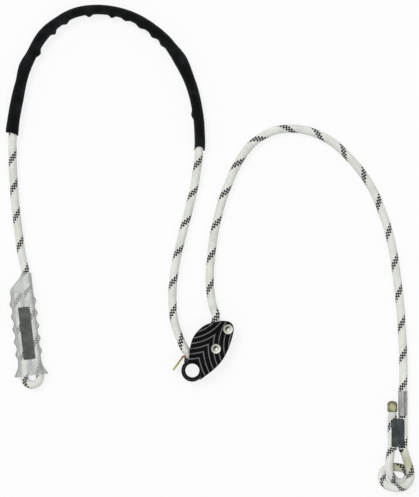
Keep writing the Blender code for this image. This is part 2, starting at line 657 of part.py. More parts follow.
def cam_outline():
    """The cam's lobe above the hub, before the rope's channel cuts its face."""
    start, end = math.radians(60), math.radians(170)
    steps = 14
    lobe = [flat_polar(CAM_RADIUS, start + (end - start) * step / steps) for step in range(steps + 1)]
    return [Vector((0, 0)), *lobe]


def strip(points, thickness):
    """The outline of a bent strip of even thickness, its bends mitred."""
    left, right = [], []
    for index, spot in enumerate(points):
        before = (spot - points[index - 1]).normalized() if index else None
        after = (points[index + 1] - spot).normalized() if index + 1 < len(points) else None
        before, after = before or after, after or before
        ahead = (before + after).normalized()
        aside = Vector((-ahead.y, ahead.x)) * thickness / 2 / max(0.5, ahead.dot(after))
        left.append(spot + aside)
        right.append(spot - aside)
    return right + left[::-1]


def lever_bend(corner):
    """The arc where the strip is bent back at its corner."""
    turn = LEVER_OUTER_ANGLE - LEVER_INNER_ANGLE
    start = corner - flat_polar(LEVER_BEND * math.tan(turn / 2), LEVER_INNER_ANGLE)
    centre = start + flat_polar(LEVER_BEND, LEVER_INNER_ANGLE + math.pi / 2)
    steps = 5
    angles = [LEVER_INNER_ANGLE - math.pi / 2 + turn * step / steps for step in range(steps + 1)]
    return [centre + flat_polar(LEVER_BEND, angle) for angle in angles]


def make_lever(adjuster):
    """The release lever: a knuckle on its pin, a narrow shank, and a wide strip bent back outside."""
    low, high = GAP_MIDDLE - LEVER_WIDTH / 2, GAP_MIDDLE + LEVER_WIDTH / 2
    shank_low, shank_high = GAP_MIDDLE - SHANK_WIDTH / 2, GAP_MIDDLE + SHANK_WIDTH / 2
    corner = flat_polar(LEVER_INNER, LEVER_INNER_ANGLE)
    neck = flat_polar(SHANK_LENGTH, LEVER_INNER_ANGLE)
    tip = corner + flat_polar(LEVER_OUTER, LEVER_OUTER_ANGLE)
    blade = strip([neck, *lever_bend(corner), tip], LEVER_THICKNESS)
    place = (*lever_pin_place(), 0)
    lever = placed("release_lever", prism("lever_blade", blade, low, high), "gold", adjuster, place)
    root = flat_polar(KNUCKLE_RADIUS / 2, LEVER_INNER_ANGLE)
    shank = strip([root, neck * SHANK_LAP_SHARE], LEVER_THICKNESS * SHANK_THICKNESS_SHARE)
    slim = SHANK_WIDTH * SHANK_SLIM_SHARE
    shank_mesh = prism("lever_shank", shank, shank_low + slim, shank_high - slim)
    cut(lever, "lever_shank", shank_mesh, "UNION")
    knuckle = turned("lever_knuckle", pin_profile(KNUCKLE_RADIUS, shank_low, shank_high))
    cut(lever, "lever_knuckle", knuckle, "UNION")
    hole = pin_profile(LEVER_PIN_RADIUS + CLEARANCE, low - CUTTER_OVERRUN, high + CUTTER_OVERRUN)
    cut(lever, "lever_pin_hole", turned("lever_pin_hole", hole, rounds=PIN_SIDES))
    pin = pin_profile(LEVER_PIN_RADIUS, ARM_BOTTOM + LUG_RECESS, ARM_TOP - LUG_RECESS)
    placed("lever_pin", turned("lever_pin", pin, rounds=PIN_SIDES), "steel", adjuster, place)


def flattened(spot, start, end):
    """The rope's half width and half height where threads press it flat between two heights."""
    reach = SEAM_MARGIN + FLATTENING
    share = ease((end + reach - spot.y) / FLATTENING) * ease((spot.y - start + reach) / FLATTENING)
    half_width = ROPE_RADIUS + (FLAT_HALF_WIDTH - ROPE_RADIUS) * share
    return half_width, half_width, ROPE_RADIUS + (FLAT_HALF_HEIGHT - ROPE_RADIUS) * share


def make_seam(name, frame, start, length, width, middle):
    """Rows of thread above and below the two legs, joined through the gap between them."""
    half, web = width / 2, WEB_THICKNESS / 2
    under = FLAT_HALF_HEIGHT + CLEARANCE
    over = under + THREAD_THICKNESS
    quarter = [(half, over), (half, under), (web, under)]
    half_section = quarter + [(x, -z) for x, z in reversed(quarter)]
    section = half_section + [(-x, -z) for x, z in half_section]
    rings = [[(x, y, middle + z) for x, z in section] for y in (start, start + length)]
    placed(name, skin(name, rings), "grey thread", frame)


def left_rope_path():
    """Down the standing leg, round the eye and up the tail, in the left eye's own frame."""
    height = COVERED_ROPE
    top = COVER_START + COVER_LENGTH - COVER_ENTRY
    splay = (LEG_OFFSET + LEFT_LOOP_RADIUS) / 2
    standing = [
        (LEG_OFFSET, top, height), (LEG_OFFSET, LEFT_SEAM_START + LEFT_SEAM_LENGTH, height),
        (LEG_OFFSET, LEFT_SEAM_START + LEFT_SEAM_LENGTH / 2, height),
        (LEG_OFFSET, LEFT_SEAM_START - SEAM_MARGIN, height),
        (splay, LEFT_SEAM_START * LEFT_SPLAY_SHARE, height),
    ]
    turns = [math.radians(angle) for angle in (0, -45, -90, -135, -180)]
    loop = [(*flat_polar(LEFT_LOOP_RADIUS, angle), height) for angle in turns]
    tail = [(-x, y, z) for x, y, z in reversed(standing[1:])] + [(-LEG_OFFSET, LEFT_TAIL_LENGTH, height)]
    return evenly_spaced(smooth_path(standing + loop + tail, 10), SEWN_ROPE_STEP)


def make_left_eye(frame):
    path = left_rope_path()
    seam_end = LEFT_SEAM_START + LEFT_SEAM_LENGTH
    last = len(path) - 1

    def section(spot, index):
        to_left, to_right, height = flattened(spot, LEFT_SEAM_START, seam_end)
        melted = MELTED_SHARES[max(0, 3 - last + index)]
        return to_left * melted, to_right * melted, height * melted

    eye = skin("left_sewn_eye", rings_along(path, section))
    placed("left_sewn_eye", eye, "rope", frame)
    make_seam("left_eye_stitching", frame, LEFT_SEAM_START, LEFT_SEAM_LENGTH, LEFT_SEAM_WIDTH, COVERED_ROPE)
    make_cover(frame)
    return path


def scallop(height, first):
    """How far the crimped edge of the cover stands out at this height."""
    turn = (height - first) / SCALLOP_PITCH
    if not -0.5 < turn < SCALLOP_COUNT - 0.5:
        return 0
    return SCALLOP_DEPTH * (0.5 + 0.5 * math.cos(math.tau * turn)) ** 1.5


def stadium(left, right, half_height, y, middle):
    """A ring with straight sides and round ends, square to Y."""
    ring = []
    sides = ROPE_SIDES + 2
    for side in range(sides):
        angle = math.tau * (side + 0.5) / sides
        centre = right - half_height if math.cos(angle) > 0 else left + half_height
        ring.append((centre + half_height * math.cos(angle), y, middle + half_height * math.sin(angle)))
    return ring


def make_cover(frame):
    """The clear cover, crimped in scallops along both edges, with a hem along its left one, flared
    at the eye, and drawn in at the top to the standing leg alone."""
    snug = LEG_OFFSET + FLAT_HALF_WIDTH + CLEARANCE
    loop = LEFT_LOOP_RADIUS + ROPE_RADIUS + CLEARANCE
    half_height = COVERED_ROPE - COVER_WALL
    tips, end = COVER_START + LIP_ROUNDING, COVER_START + COVER_LENGTH
    count = round((end - tips) / COVER_STEP)
    outer, inner = [], []
    for height in [COVER_START, *(tips + (end - tips) * step / count for step in range(count + 1))]:
        reach = snug + (loop - snug) * ease(1 - (height - COVER_START) / LEFT_SEAM_START)
        drawn_in = ease((height - end + COVER_SHOULDER) / COVER_SHOULDER)
        left = -reach + (snug + LEG_OFFSET - half_height) * drawn_in
        flare = max(0, 1 - (height - tips) / LIP_LENGTH) ** 1.5 if height >= tips else LIP_END_SHARE
        inner.append(stadium(left, reach, half_height, height, COVERED_ROPE))
        hem = COVER_HEM * (1 - drawn_in)
        left_edge = left - COVER_WALL - hem - LIP_WIDTH * flare - scallop(height, SCALLOP_START)
        later = SCALLOP_START + SCALLOP_PITCH / 8
        right_edge = reach + COVER_WALL + LIP_WIDTH * flare + scallop(height, later)
        outer.append(stadium(left_edge, right_edge, half_height + COVER_WALL, height, COVERED_ROPE))
    placed("left_eye_cover", skin("left_eye_cover", outer, inner), "clear cover", frame)


def right_rope_path():
    """Down the standing leg, through the round turn and up the tail, in the right eye's own frame."""
    top = SHRINK_START + SHRINK_LENGTH - SHRINK_ENTRY
    standing = [
        (LEG_OFFSET, top, SHRUNK_ROPE), (LEG_OFFSET, (top + SHRINK_START) / 2, SHRUNK_ROPE),
        (LEG_OFFSET, SHRINK_START, SHRUNK_ROPE), (LEG_OFFSET, RIGHT_SEAM_LENGTH + SEAM_MARGIN, SHRUNK_ROPE),
        (LEG_OFFSET, RIGHT_SEAM_LENGTH / 2, SHRUNK_ROPE), (LEG_OFFSET, -SEAM_MARGIN, SHRUNK_ROPE),
    ]
    tail_top = CAP_START + CAP_LENGTH - CAP_WALL - CAP_DOME
    tail = [
        (-LEG_OFFSET, -SEAM_MARGIN, SHRUNK_ROPE), (-LEG_OFFSET, RIGHT_SEAM_LENGTH / 2, SHRUNK_ROPE),
        (-LEG_OFFSET, RIGHT_SEAM_LENGTH + SEAM_MARGIN, SHRUNK_ROPE), (-LEG_OFFSET, CAP_START, SHRUNK_ROPE),
        (-LEG_OFFSET, tail_top, SHRUNK_ROPE),
    ]
    return evenly_spaced(smooth_path([*standing, *ROUND_TURN_ROUTE, *tail], 10), SEWN_ROPE_STEP)


def make_right_eye(frame):
    path = right_rope_path()

    def section(spot, index):
        return flattened(spot, 0, RIGHT_SEAM_LENGTH)

    placed("right_sewn_eye", skin("right_sewn_eye", rings_along(path, section)), "rope", frame)
    make_seam("right_eye_stitching", frame, 0, RIGHT_SEAM_LENGTH, RIGHT_SEAM_WIDTH, SHRUNK_ROPE)
    along = (-math.pi / 2, 0, 0)
    bore = ROPE_RADIUS + CLEARANCE
    shrink = tube_profile(bore, bore + SHRINK_WALL, 0, SHRINK_LENGTH)
    place = (LEG_OFFSET, SHRINK_START, SHRUNK_ROPE)
    shrink_mesh = turned("right_shrink_sleeve", shrink, True)
    placed("right_shrink_sleeve", shrink_mesh, "clear cover", frame, place, along)
    outer, length = bore + CAP_WALL, CAP_LENGTH
    dome = [flat_polar(1, math.pi / 2 * step / 4) for step in range(5)]
    shell = [(outer, 0)] + [(outer * spot.x, length - CAP_DOME + CAP_DOME * spot.y) for spot in dome]
    lining = [(bore * spot.x, length - CAP_DOME + (CAP_DOME - CAP_WALL) * spot.y) for spot in dome[::-1]]
    shell[-1], lining[0] = (0, length), (0, length - CAP_WALL)
    cap = [*lining[1:], (bore, 0), *shell[:-1]]
    cap = [lining[0], *cap, shell[-1]]
    place = (-LEG_OFFSET, CAP_START, SHRUNK_ROPE)
    placed("right_tail_cap", turned("right_tail_cap", cap), "olive cap", frame, place, along)
    return path


def make_sleeve(rope_path):
    """The wear sleeve, snug outside the bend and gathered in wrinkles inside it."""
    fine = evenly_spaced(rope_path, ROPE_RADIUS / 2)
    crown = max(range(len(fine)), key=lambda index: fine[index].y)
    first = min(range(crown), key=lambda index: abs(fine[index].y - SLEEVE_FROM))
    last = min(range(crown, len(fine)), key=lambda index: abs(fine[index].y - SLEEVE_TO))
    path = evenly_spaced(fine[first:last + 1], SLEEVE_STEP)
    total = length_of(path)
    count = len(path) - 1

    def outer(spot, index):
        share = index / count
        wrinkles = [ease(1 - abs(share - place) * total / WRINKLE_LENGTH) for place in WRINKLE_SHARES]
        flare = SLEEVE_FLARE * ease(1 - share * total / (4 * ROPE_DIAMETER))
        snug = SLEEVE_HALF_WIDTH + flare
        return snug, snug + WRINKLE_HEIGHT * max(wrinkles), SLEEVE_ROPE

    def inner(spot, index):
        return [ROPE_RADIUS + SLEEVE_EASE] * 3

    sleeve = skin("wear_sleeve", rings_along(path, outer), rings_along(path, inner))
    placed("wear_sleeve", sleeve, "black webbing")
    return total


def gap_to_itself(path):
    """The least gap between stretches of the rope that lie well apart along it."""
    least = math.inf
    for index, spot in enumerate(path):
        for other in path[index + round(2 * ROPE_DIAMETER / SEWN_ROPE_STEP):]:
            if spot.y < 0 or other.y < 0:
                least = min(least, (spot - other).length)
    return least - ROPE_DIAMETER


def main():
    for leftover in list(bpy.data.objects):
        bpy.data.objects.remove(leftover)

    adjuster = frame_at("adjuster", ADJUSTER_X, ADJUSTER_Y)
    make_plate("rear_plate", REAR_PLATE_BOTTOM, adjuster)
    make_plate("front_plate", GAP_TOP, adjuster)
    make_rivet("pivot_rivet", Vector((0, 0)), adjuster)
    make_rivet("post_rivet", on_plate(POST_SHARES), adjuster)
    make_between_plates(adjuster)
    make_saddle(adjuster)
    make_cam_arm(adjuster)
    make_lever(adjuster)

    left = frame_at("left_eye", LEFT_X, LEFT_Y, LEFT_TILT)
    right = frame_at("right_eye", RIGHT_X, RIGHT_Y)
    left_path = make_left_eye(left)
    right_path = make_right_eye(right)
    for solid in bpy.data.objects:
        if solid.modifiers:
            even_shading(solid)
    bpy.context.view_layer.update()

    def ends(frame, path):
        """The rope's end in the frame, drawn back by the clearance, and a spot a diameter outside it."""
        outwards = (path[0] - path[1]).normalized()
        joint = path[0] + outwards * CLEARANCE
        return [frame.matrix_world @ joint, frame.matrix_world @ (joint + outwards * ROPE_DIAMETER)]

    inside = evenly_spaced(adjuster_rope(), ADJUSTER_ROPE_STEP)
    load_joint = ends(adjuster, inside)
    free_joint = ends(adjuster, inside[::-1])
    load_route = [*ends(left, left_path), *LOAD_SIDE_ROUTE, *load_joint[::-1]]
    free_route = [*free_joint, *FREE_SIDE_ROUTE, *ends(right, right_path)[::-1]]
    steps = 12
    load_path = smooth_path(load_route, steps)
    free_path = smooth_path(free_route, steps)
    strands = (("rope_load_side", load_path, LOAD_SIDE_STEP), ("rope_free_side", free_path, FREE_SIDE_STEP))
    for name, path, spacing in strands:
        rope_tube(name, [path[0], *evenly_spaced(path[steps:-steps], spacing), path[-1]])
    held = [adjuster.matrix_world @ spot for spot in inside]
    rope_tube("rope_in_adjuster", held)
    sleeve_length = make_sleeve(load_path)

    stretches = {
        "load side": load_path, "free side": free_path, "in the adjuster": held,
        "left eye": left_path, "right eye": right_path,
    }
    for name, path in stretches.items():
        print(f"rope, {name}: {length_of(path) * 1000:.0f} mm")
    print(f"rope in all: {sum(map(length_of, stretches.values())) * 1000:.0f} mm")
    print(f"sleeve: {sleeve_length * 1000:.0f} mm")
    print(f"least gap of the round turn to itself: {gap_to_itself(right_path) * 1000:.2f} mm")
    print(f"arm travel: {math.degrees(arm_travel()):.2f} degrees")
    for name, frame, path in (("load", adjuster, load_joint), ("free", adjuster, free_joint)):
        print(f"{name} joint:", [tuple(round(value, 5) for value in spot) for spot in path])


main()
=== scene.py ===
# %% [markdown]
# # A tree climbing lanyard
# The real object is a rope of about two metres with a sewn eye at each end, a black sleeve that
# guards it against bark and saws, and an adjuster: two black plates between which an arm bites the
# rope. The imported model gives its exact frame. This lesson dresses that frame: a rope that is
# really braided, threads that are really sewn, and finishes made from nodes alone.

# %% Load the frame
import math

import bmesh
import bpy
from mathutils import Matrix, Vector, noise


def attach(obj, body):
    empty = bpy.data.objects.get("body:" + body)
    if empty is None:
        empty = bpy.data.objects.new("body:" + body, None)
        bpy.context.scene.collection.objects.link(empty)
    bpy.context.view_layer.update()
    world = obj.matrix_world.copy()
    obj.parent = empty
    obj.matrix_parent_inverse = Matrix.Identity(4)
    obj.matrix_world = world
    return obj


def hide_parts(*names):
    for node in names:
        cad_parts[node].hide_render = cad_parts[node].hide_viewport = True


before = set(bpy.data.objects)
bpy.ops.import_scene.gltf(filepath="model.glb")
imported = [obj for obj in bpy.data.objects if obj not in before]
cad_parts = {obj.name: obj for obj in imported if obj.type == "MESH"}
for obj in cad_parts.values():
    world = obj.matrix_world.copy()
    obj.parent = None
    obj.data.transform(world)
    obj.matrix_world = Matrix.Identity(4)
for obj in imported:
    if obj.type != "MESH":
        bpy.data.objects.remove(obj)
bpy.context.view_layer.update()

# %% [markdown]
# The photograph looks straight down, so the camera does too. It could be an orthographic camera,
# but a long lens from well above keeps a trace of perspective, as a real one has. The picture is
# 661 mm high where the middle of the rope lies, and the camera's height follows from that.

# %% Camera
MM = 0.001
PICTURE_HEIGHT = 661 * MM
PICTURE_MIDDLE = (0.2 * MM, -0.8 * MM)
MEASURED_HEIGHT = 7 * MM
LENS, SENSOR = 100, 36
NEAR, FAR = 0.05, 20

lens = bpy.data.cameras.new("camera")
lens.lens, lens.sensor_width = LENS, SENSOR
lens.clip_start, lens.clip_end = NEAR, FAR
camera = bpy.data.objects.new("camera", lens)
camera.location = (*PICTURE_MIDDLE, MEASURED_HEIGHT + PICTURE_HEIGHT * LENS / SENSOR)
bpy.context.scene.collection.objects.link(camera)
bpy.context.scene.camera = camera
bpy.context.scene.view_settings.view_transform = "Standard"
print("the camera stands", round(camera.location.z, 3), "m above the floor")

# %% [markdown]
# Every node tree below is written with a few small helpers. One adds a node, sets it up and joins
# its inputs. What it returns can be added, multiplied and compared like a number, and each such sum
# adds a Math node. This works alike in a tree of Geometry Nodes and in a material, so the braid can
# be worked out once and used for both shape and colour.


# %% Helpers for node trees
def wire(tree, kind, given=None, out=0, **settings):
    """Adds a node, sets or joins its inputs by number or name, and returns one of its outputs."""
    node = tree.nodes.new(kind)
    for name, value in settings.items():
        setattr(node, name, value)
    for key, value in (given or {}).items():
        found = [socket for socket in node.inputs if socket.name == key and socket.enabled]
        socket = node.inputs[key] if isinstance(key, int) else found[0]
        if isinstance(value, Output):
            tree.links.new(value.socket, socket)
        else:
            socket.default_value = value
    if isinstance(out, str):
        out = [socket.name == out and socket.enabled for socket in node.outputs].index(True)
    return Output(node.outputs[out])


def sum_of(operation):
    """A method that adds a Math node for one kind of sum."""

    def method(*values):
        given = dict(enumerate(values))
        return wire(values[0].tree, "ShaderNodeMath", given, operation=operation)

    return method


class Output:
    """One output of a node, which sums can be written with as with a number."""

    def __init__(self, socket):
        self.socket, self.tree = socket, socket.id_data

    __add__, __sub__, __mul__ = sum_of("ADD"), sum_of("SUBTRACT"), sum_of("MULTIPLY")
    __truediv__, __mod__, __pow__ = sum_of("DIVIDE"), sum_of("FLOORED_MODULO"), sum_of("POWER")
    __abs__, floor, fract, rounded = map(sum_of, ("ABSOLUTE", "FLOOR", "FRACT", "ROUND"))
    least, most, sine, cosine = map(sum_of, ("MINIMUM", "MAXIMUM", "SINE", "COSINE"))
    above, below = sum_of("GREATER_THAN"), sum_of("LESS_THAN")

    def __rsub__(self, other):
        return wire(self.tree, "ShaderNodeMath", {0: other, 1: self}, operation="SUBTRACT")

    def vector(self, operation, *others, out=0):
        """A sum with vectors. SCALE takes its number by name."""
        given = dict(enumerate((self, *others)))
        if operation == "SCALE":
            given = {0: self, "Scale": others[0]}
        return wire(self.tree, "ShaderNodeVectorMath", given, out, operation=operation)

    def split(self):
        """The three numbers of a vector."""
        node = wire(self.tree, "ShaderNodeSeparateXYZ", {0: self}).socket.node
        return [Output(socket) for socket in node.outputs]


# %% [markdown]
# A tree of Geometry Nodes can keep a value on every point of a mesh, as an attribute with a name,
# and a material can read it. Each tree here has named inputs for its sizes and ends alike, in real
# geometry instead of instances, because only that can be kept as a mesh.


# %% Helpers for trees of Geometry Nodes
def stored(tree, name, data_type="FLOAT"):
    """A named attribute, read in a tree of Geometry Nodes."""
    kind = "GeometryNodeInputNamedAttribute"
    return wire(tree, kind, {"Name": name}, "Attribute", data_type=data_type)


def store(geometry, name, value, data_type="FLOAT", domain="POINT"):
    """The geometry with a value kept on it under a name."""
    given = {"Geometry": geometry, "Name": name, "Value": value}
    settings = {"data_type": data_type, "domain": domain}
    return wire(geometry.tree, "GeometryNodeStoreNamedAttribute", given, "Geometry", **settings)


def shaping_tree(name, *inputs):
    """A tree of Geometry Nodes with named inputs and a material, and what these inputs give."""
    tree = bpy.data.node_groups.new(name, "GeometryNodeTree")
    tree.interface.new_socket("Geometry", in_out="OUTPUT", socket_type="NodeSocketGeometry")
    first, last = ("Geometry", "Geometry", None), ("Material", "Material", None)
    for label, kind, value in (first, *inputs, last):
        socket = tree.interface.new_socket(label, in_out="INPUT", socket_type=f"NodeSocket{kind}")
        if value is not None:
            socket.default_value = value
    sockets = tree.nodes.new("NodeGroupInput").outputs
    return tree, {socket.name: Output(socket) for socket in sockets}


def close_tree(geometry, material):
    """Every tree ends alike: real geometry instead of instances, and a material."""
    tree = geometry.tree
    real = wire(tree, "GeometryNodeRealizeInstances", {"Geometry": geometry})
    dressed = wire(tree, "GeometryNodeSetMaterial", {"Geometry": real, "Material": material})
    tree.links.new(dressed.socket, tree.nodes.new("NodeGroupOutput").inputs[0])
    return tree


# %% [markdown]
# A tree runs as a modifier on some mesh. The result is then made a plain mesh, because the frame
# keeps meshes and not modifiers of this kind. A finished piece says which body it rides on and
# which of the frame's solids it stands for.


# %% From a tree to a finished piece
def linked(name, mesh):
    piece = bpy.data.objects.new(name, mesh)
    bpy.context.scene.collection.objects.link(piece)
    return piece


def shaped(name, mesh, tree, values, leave=()):
    """Runs a tree on a mesh and returns the plain mesh object that comes out."""
    rough = linked(name + "_rough", mesh)
    modifier = rough.modifiers.new(name, "NODES")
    modifier.node_group = tree
    for item in tree.interface.items_tree:
        if item.in_out == "INPUT" and item.name in values:
            modifier[item.identifier] = values[item.name]
    evaluated = rough.evaluated_get(bpy.context.evaluated_depsgraph_get())
    plain = bpy.data.meshes.new_from_object(evaluated)
    rough.modifiers.remove(modifier)
    bpy.data.objects.remove(rough)
    for spent in [layer.name for layer in plain.attributes if layer.name in leave]:
        plain.attributes.remove(plain.attributes[spent])
    plain.name = name
    return linked(name, plain)


def handed_over(piece, slot, *nodes):
    """Hands a finished piece to the frame. Every piece here rides on the body that lies still."""
    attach(piece, "root")
    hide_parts(*nodes)
    print(piece.name, "has", len(piece.data.polygons), "faces and stands for", *nodes)


# %% [markdown]
# The rope is one line from the end of the left eye to the end of the right eye. The frame's solids
# follow the same line, so its points are repeated here, in metres. A curve object could draw it,
# but the eyes are pressed flat where they are sewn. So the line is kept as plain points.

# %% The rope's line
ROPE_DIAMETER = 0.011
ROPE_RADIUS = ROPE_DIAMETER / 2
CLEARANCE = 0.0003
# How high the rope's middle lies, and three heights on the way
GROUND, IN_SLEEVE, IN_COVER, IN_SHRINK = 0.0055, 0.0075, 0.0065, 0.0066
IN_PLATES, UPPER_LAYER = 0.0096, 0.01705
TO_SLEEVE, TO_PLATES, TO_SHRINK = 0.0065, 0.00755, 0.00605
LEG_OFFSET = 0.007


def laid(height, *spots):
    """Spots seen from above, all laid at one height."""
    return [(x, y, height) for x, y in spots]


load_side_route = [
    (-0.2475, -0.0195, IN_COVER),
    *laid(
        GROUND, (-0.2513, 0.0005), (-0.2545, 0.0258), (-0.2577, 0.0520), (-0.2600, 0.0800),
        (-0.2616, 0.1080),
    ),
    (-0.2619, 0.1320, TO_SLEEVE),
    *laid(
        IN_SLEEVE, (-0.2612, 0.1515), (-0.2594, 0.1740), (-0.2555, 0.1970), (-0.2498, 0.2200),
        (-0.2412, 0.2450), (-0.2262, 0.2735), (-0.2060, 0.2965), (-0.1785, 0.3125),
        (-0.1450, 0.3166), (-0.1115, 0.3105), (-0.0830, 0.2965), (-0.0575, 0.2750),
        (-0.0375, 0.2460), (-0.0235, 0.2130), (-0.0155, 0.1780), (-0.0133, 0.1480),
        (-0.0136, 0.1300),
    ),
    (-0.0157, 0.1090, TO_SLEEVE),
    *laid(
        GROUND, (-0.0200, 0.0820), (-0.0268, 0.0530), (-0.0335, 0.0270), (-0.0395, 0.0035),
        (-0.0445, -0.0200), (-0.0480, -0.0430), (-0.0491, -0.0640),
    ),
    (-0.0483, -0.0850, TO_PLATES), (-0.0448, -0.1045, IN_PLATES),
]

# %% [markdown]
# The free side runs from the adjuster to the right eye in one wide bow. The eye's round turn lies
# in two layers, so its points climb from the ground to the upper one and come down again. Between
# the plates the rope follows their size, so that stretch is given in shares of it.

# %% The free side and the right eye
free_side_route = [
    (0.0054, -0.0800, IN_PLATES), (0.0024, -0.0660, TO_PLATES),
    *laid(
        GROUND, (0.0006, -0.0490), (0.0007, -0.0320), (0.0023, -0.0130), (0.0045, 0.0060),
        (0.0078, 0.0260), (0.0122, 0.0450), (0.0176, 0.0640), (0.0248, 0.0840), (0.0343, 0.1055),
        (0.0462, 0.1260), (0.0615, 0.1425), (0.0800, 0.1535), (0.1010, 0.1585), (0.1230, 0.1575),
        (0.1440, 0.1515), (0.1650, 0.1400), (0.1860, 0.1205), (0.2040, 0.0990), (0.2185, 0.0755),
        (0.2300, 0.0480), (0.2390, 0.0200), (0.2455, -0.0100), (0.2500, -0.0420),
        (0.2538, -0.0750), (0.2562, -0.1070), (0.2578, -0.1360),
    ),
    (0.2583, -0.1610, TO_SHRINK), (0.2580, -0.1780, IN_SHRINK),
]
round_turn_route = [
    (0.0086, -0.0060, IN_SHRINK), (0.0112, -0.0160, 0.0100), (0.0140, -0.0260, 0.0152),
    *laid(UPPER_LAYER, (0.0156, -0.0350), (0.0140, -0.0440), (0.0086, -0.0506), (0.0004, -0.0534)),
    (-0.0078, -0.0530, 0.0164), (-0.0152, -0.0506, 0.0136), (-0.0200, -0.0454, 0.0094),
    (-0.0210, -0.0388, 0.0062),
    *laid(
        GROUND, (-0.0179, -0.0320), (-0.0106, -0.0285), (-0.0014, -0.0278), (0.0074, -0.0294),
        (0.0128, -0.0336), (0.0144, -0.0392), (0.0120, -0.0446), (0.0066, -0.0476),
        (0.0008, -0.0476),
    ),
    (-0.0040, -0.0448, 0.0074), (-0.0076, -0.0406, 0.0110), (-0.0108, -0.0354, 0.0154),
    (-0.0124, -0.0286, UPPER_LAYER), (-0.0120, -0.0200, 0.0150), (-0.0102, -0.0110, 0.0104),
    (-0.0080, -0.0025, IN_SHRINK),
]
# Through the adjuster, from its pivot, as shares of the plates' width and length
PIVOT = Vector((0.00871, -0.1334, 0))
PLATE_SIZE = (0.0593, 0.0757)
in_adjuster_shares = [
    (-0.634, -0.066), (-0.600, -0.106), (-0.553, -0.139), (-0.492, -0.151), (-0.425, -0.143),
    (-0.354, -0.110), (-0.287, -0.057), (-0.241, 0.017), (-0.221, 0.092), (-0.204, 0.165),
    (-0.169, 0.231), (-0.120, 0.284), (-0.069, 0.325), (-0.034, 0.363), (-0.020, 0.403),
    (-0.019, 0.443),
]


# %% [markdown]
# A few points are enough to lay a rope, because a smooth curve runs through them all, as a stiff
# rope does. It is drawn finely first, and then walked along in even steps.


# %% Curves through points
def smooth_path(points, steps):
    """A smooth curve through the points, with this many steps from each to the next."""
    spots = [Vector(point) for point in points]
    spots = [2 * spots[0] - spots[1], *spots, 2 * spots[-1] - spots[-2]]
    path = []
    for a, b, c, d in zip(spots, spots[1:], spots[2:], spots[3:]):
        for step in range(steps):
            t = step / steps
            path.append(
                0.5 * (2 * b + (c - a) * t + (2 * a - 5 * b + 4 * c - d) * t**2
                       + (3 * b - a - 3 * c + d) * t**3)
            )
    return path + [spots[-2]]


def length_of(path):
    return sum((b - a).length for a, b in zip(path, path[1:]))


def evenly_spaced(path, spacing):
    """Points at about this spacing along a finely drawn path, both ends kept."""
    total = length_of(path)
    count = max(2, round(total / spacing))
    spots, walked, wanted = [path[0]], 0, total / count
    for a, b in zip(path, path[1:]):
        stride = (b - a).length
        while walked + stride >= wanted and len(spots) < count:
            spots.append(a.lerp(b, (wanted - walked) / stride))
            wanted += total / count
        walked += stride
    return spots + [path[-1]]


# %% [markdown]
# Each eye has a place and a tilt of its own. The left one is a small loop with two straight legs,
# and the right one is a round turn, with one layer of rope over the other.

# %% The two eyes' lines
LEFT_EYE = Matrix.Translation((-0.2356, -0.1715, 0)) @ Matrix.Rotation(math.radians(6.6), 4, "Z")
RIGHT_EYE = Matrix.Translation((0.2504, -0.264, 0))
LEFT_LOOP_RADIUS = 0.0105
# From where to where along an eye each thing reaches
LEFT_SEAM, RIGHT_SEAM = (0.024, 0.0935), (0.0, 0.036)
LEFT_COVER, SHRINK_SLEEVE, TAIL_CAP = (0.0014, 0.1378), (0.0413, 0.0737), (0.0465, 0.0606)
SEAM_MARGIN, LEFT_TAIL_LENGTH = 0.0016, 0.113
# How far inside the cover, the shrink sleeve and the cap an eye's own rope ends
IN_COVER_BY, IN_SHRINK_BY, IN_CAP_BY = 0.006, 0.0057, 0.0053
# How far up from the loop to the seam the legs are half splayed
SPLAY_SHARE = 0.4
# The steps that a line is drawn in, from each of its points to the next
FINE, ADJUSTER_ROUGH, ADJUSTER_FINE, ADJUSTER_STEP = 24, 3, 8, 0.0045


def left_eye_line():
    """From the standing leg down, round the eye, and up the tail, in the eye's own frame."""
    low, high = LEFT_SEAM
    heights = (LEFT_COVER[1] - IN_COVER_BY, high, (low + high) / 2, low - SEAM_MARGIN)
    splayed = ((LEG_OFFSET + LEFT_LOOP_RADIUS) / 2, low * SPLAY_SHARE, IN_COVER)
    standing = [(LEG_OFFSET, y, IN_COVER) for y in heights] + [splayed]
    turns = [math.radians(angle) for angle in (0, -45, -90, -135, -180)]
    radius = LEFT_LOOP_RADIUS
    loop = [(radius * math.cos(a), radius * math.sin(a), IN_COVER) for a in turns]
    tail = [(-x, y, z) for x, y, z in reversed(standing[1:])]
    return smooth_path(standing + loop + tail + [(-LEG_OFFSET, LEFT_TAIL_LENGTH, IN_COVER)], FINE)


def right_eye_line():
    """From the standing leg down, through the round turn, and up the tail."""
    low, middle, high = RIGHT_SEAM[0] - SEAM_MARGIN, RIGHT_SEAM[1] / 2, RIGHT_SEAM[1] + SEAM_MARGIN
    top, start = SHRINK_SLEEVE[1] - IN_SHRINK_BY, SHRINK_SLEEVE[0]
    down = (top, (top + start) / 2, start, high, middle, low)
    up = (low, middle, high, TAIL_CAP[0], TAIL_CAP[1] - IN_CAP_BY)
    standing = [(LEG_OFFSET, y, IN_SHRINK) for y in down]
    tail = [(-LEG_OFFSET, y, IN_SHRINK) for y in up]
    return smooth_path([*standing, *round_turn_route, *tail], FINE)


# %% [markdown]
# The stretches meet end to end. Where one leaves the adjuster or an eye, the next goes on in the
# same direction for a diameter, so that no kink shows at the joint.


# %% One line from eye to eye
def leaving(path, place):
    """Where the rope leaves this end of a stretch, and a spot a diameter outside it."""
    outwards = (path[0] - path[1]).normalized()
    joint = path[0] + outwards * CLEARANCE
    return [place @ joint, place @ (joint + outwards * ROPE_DIAMETER)]


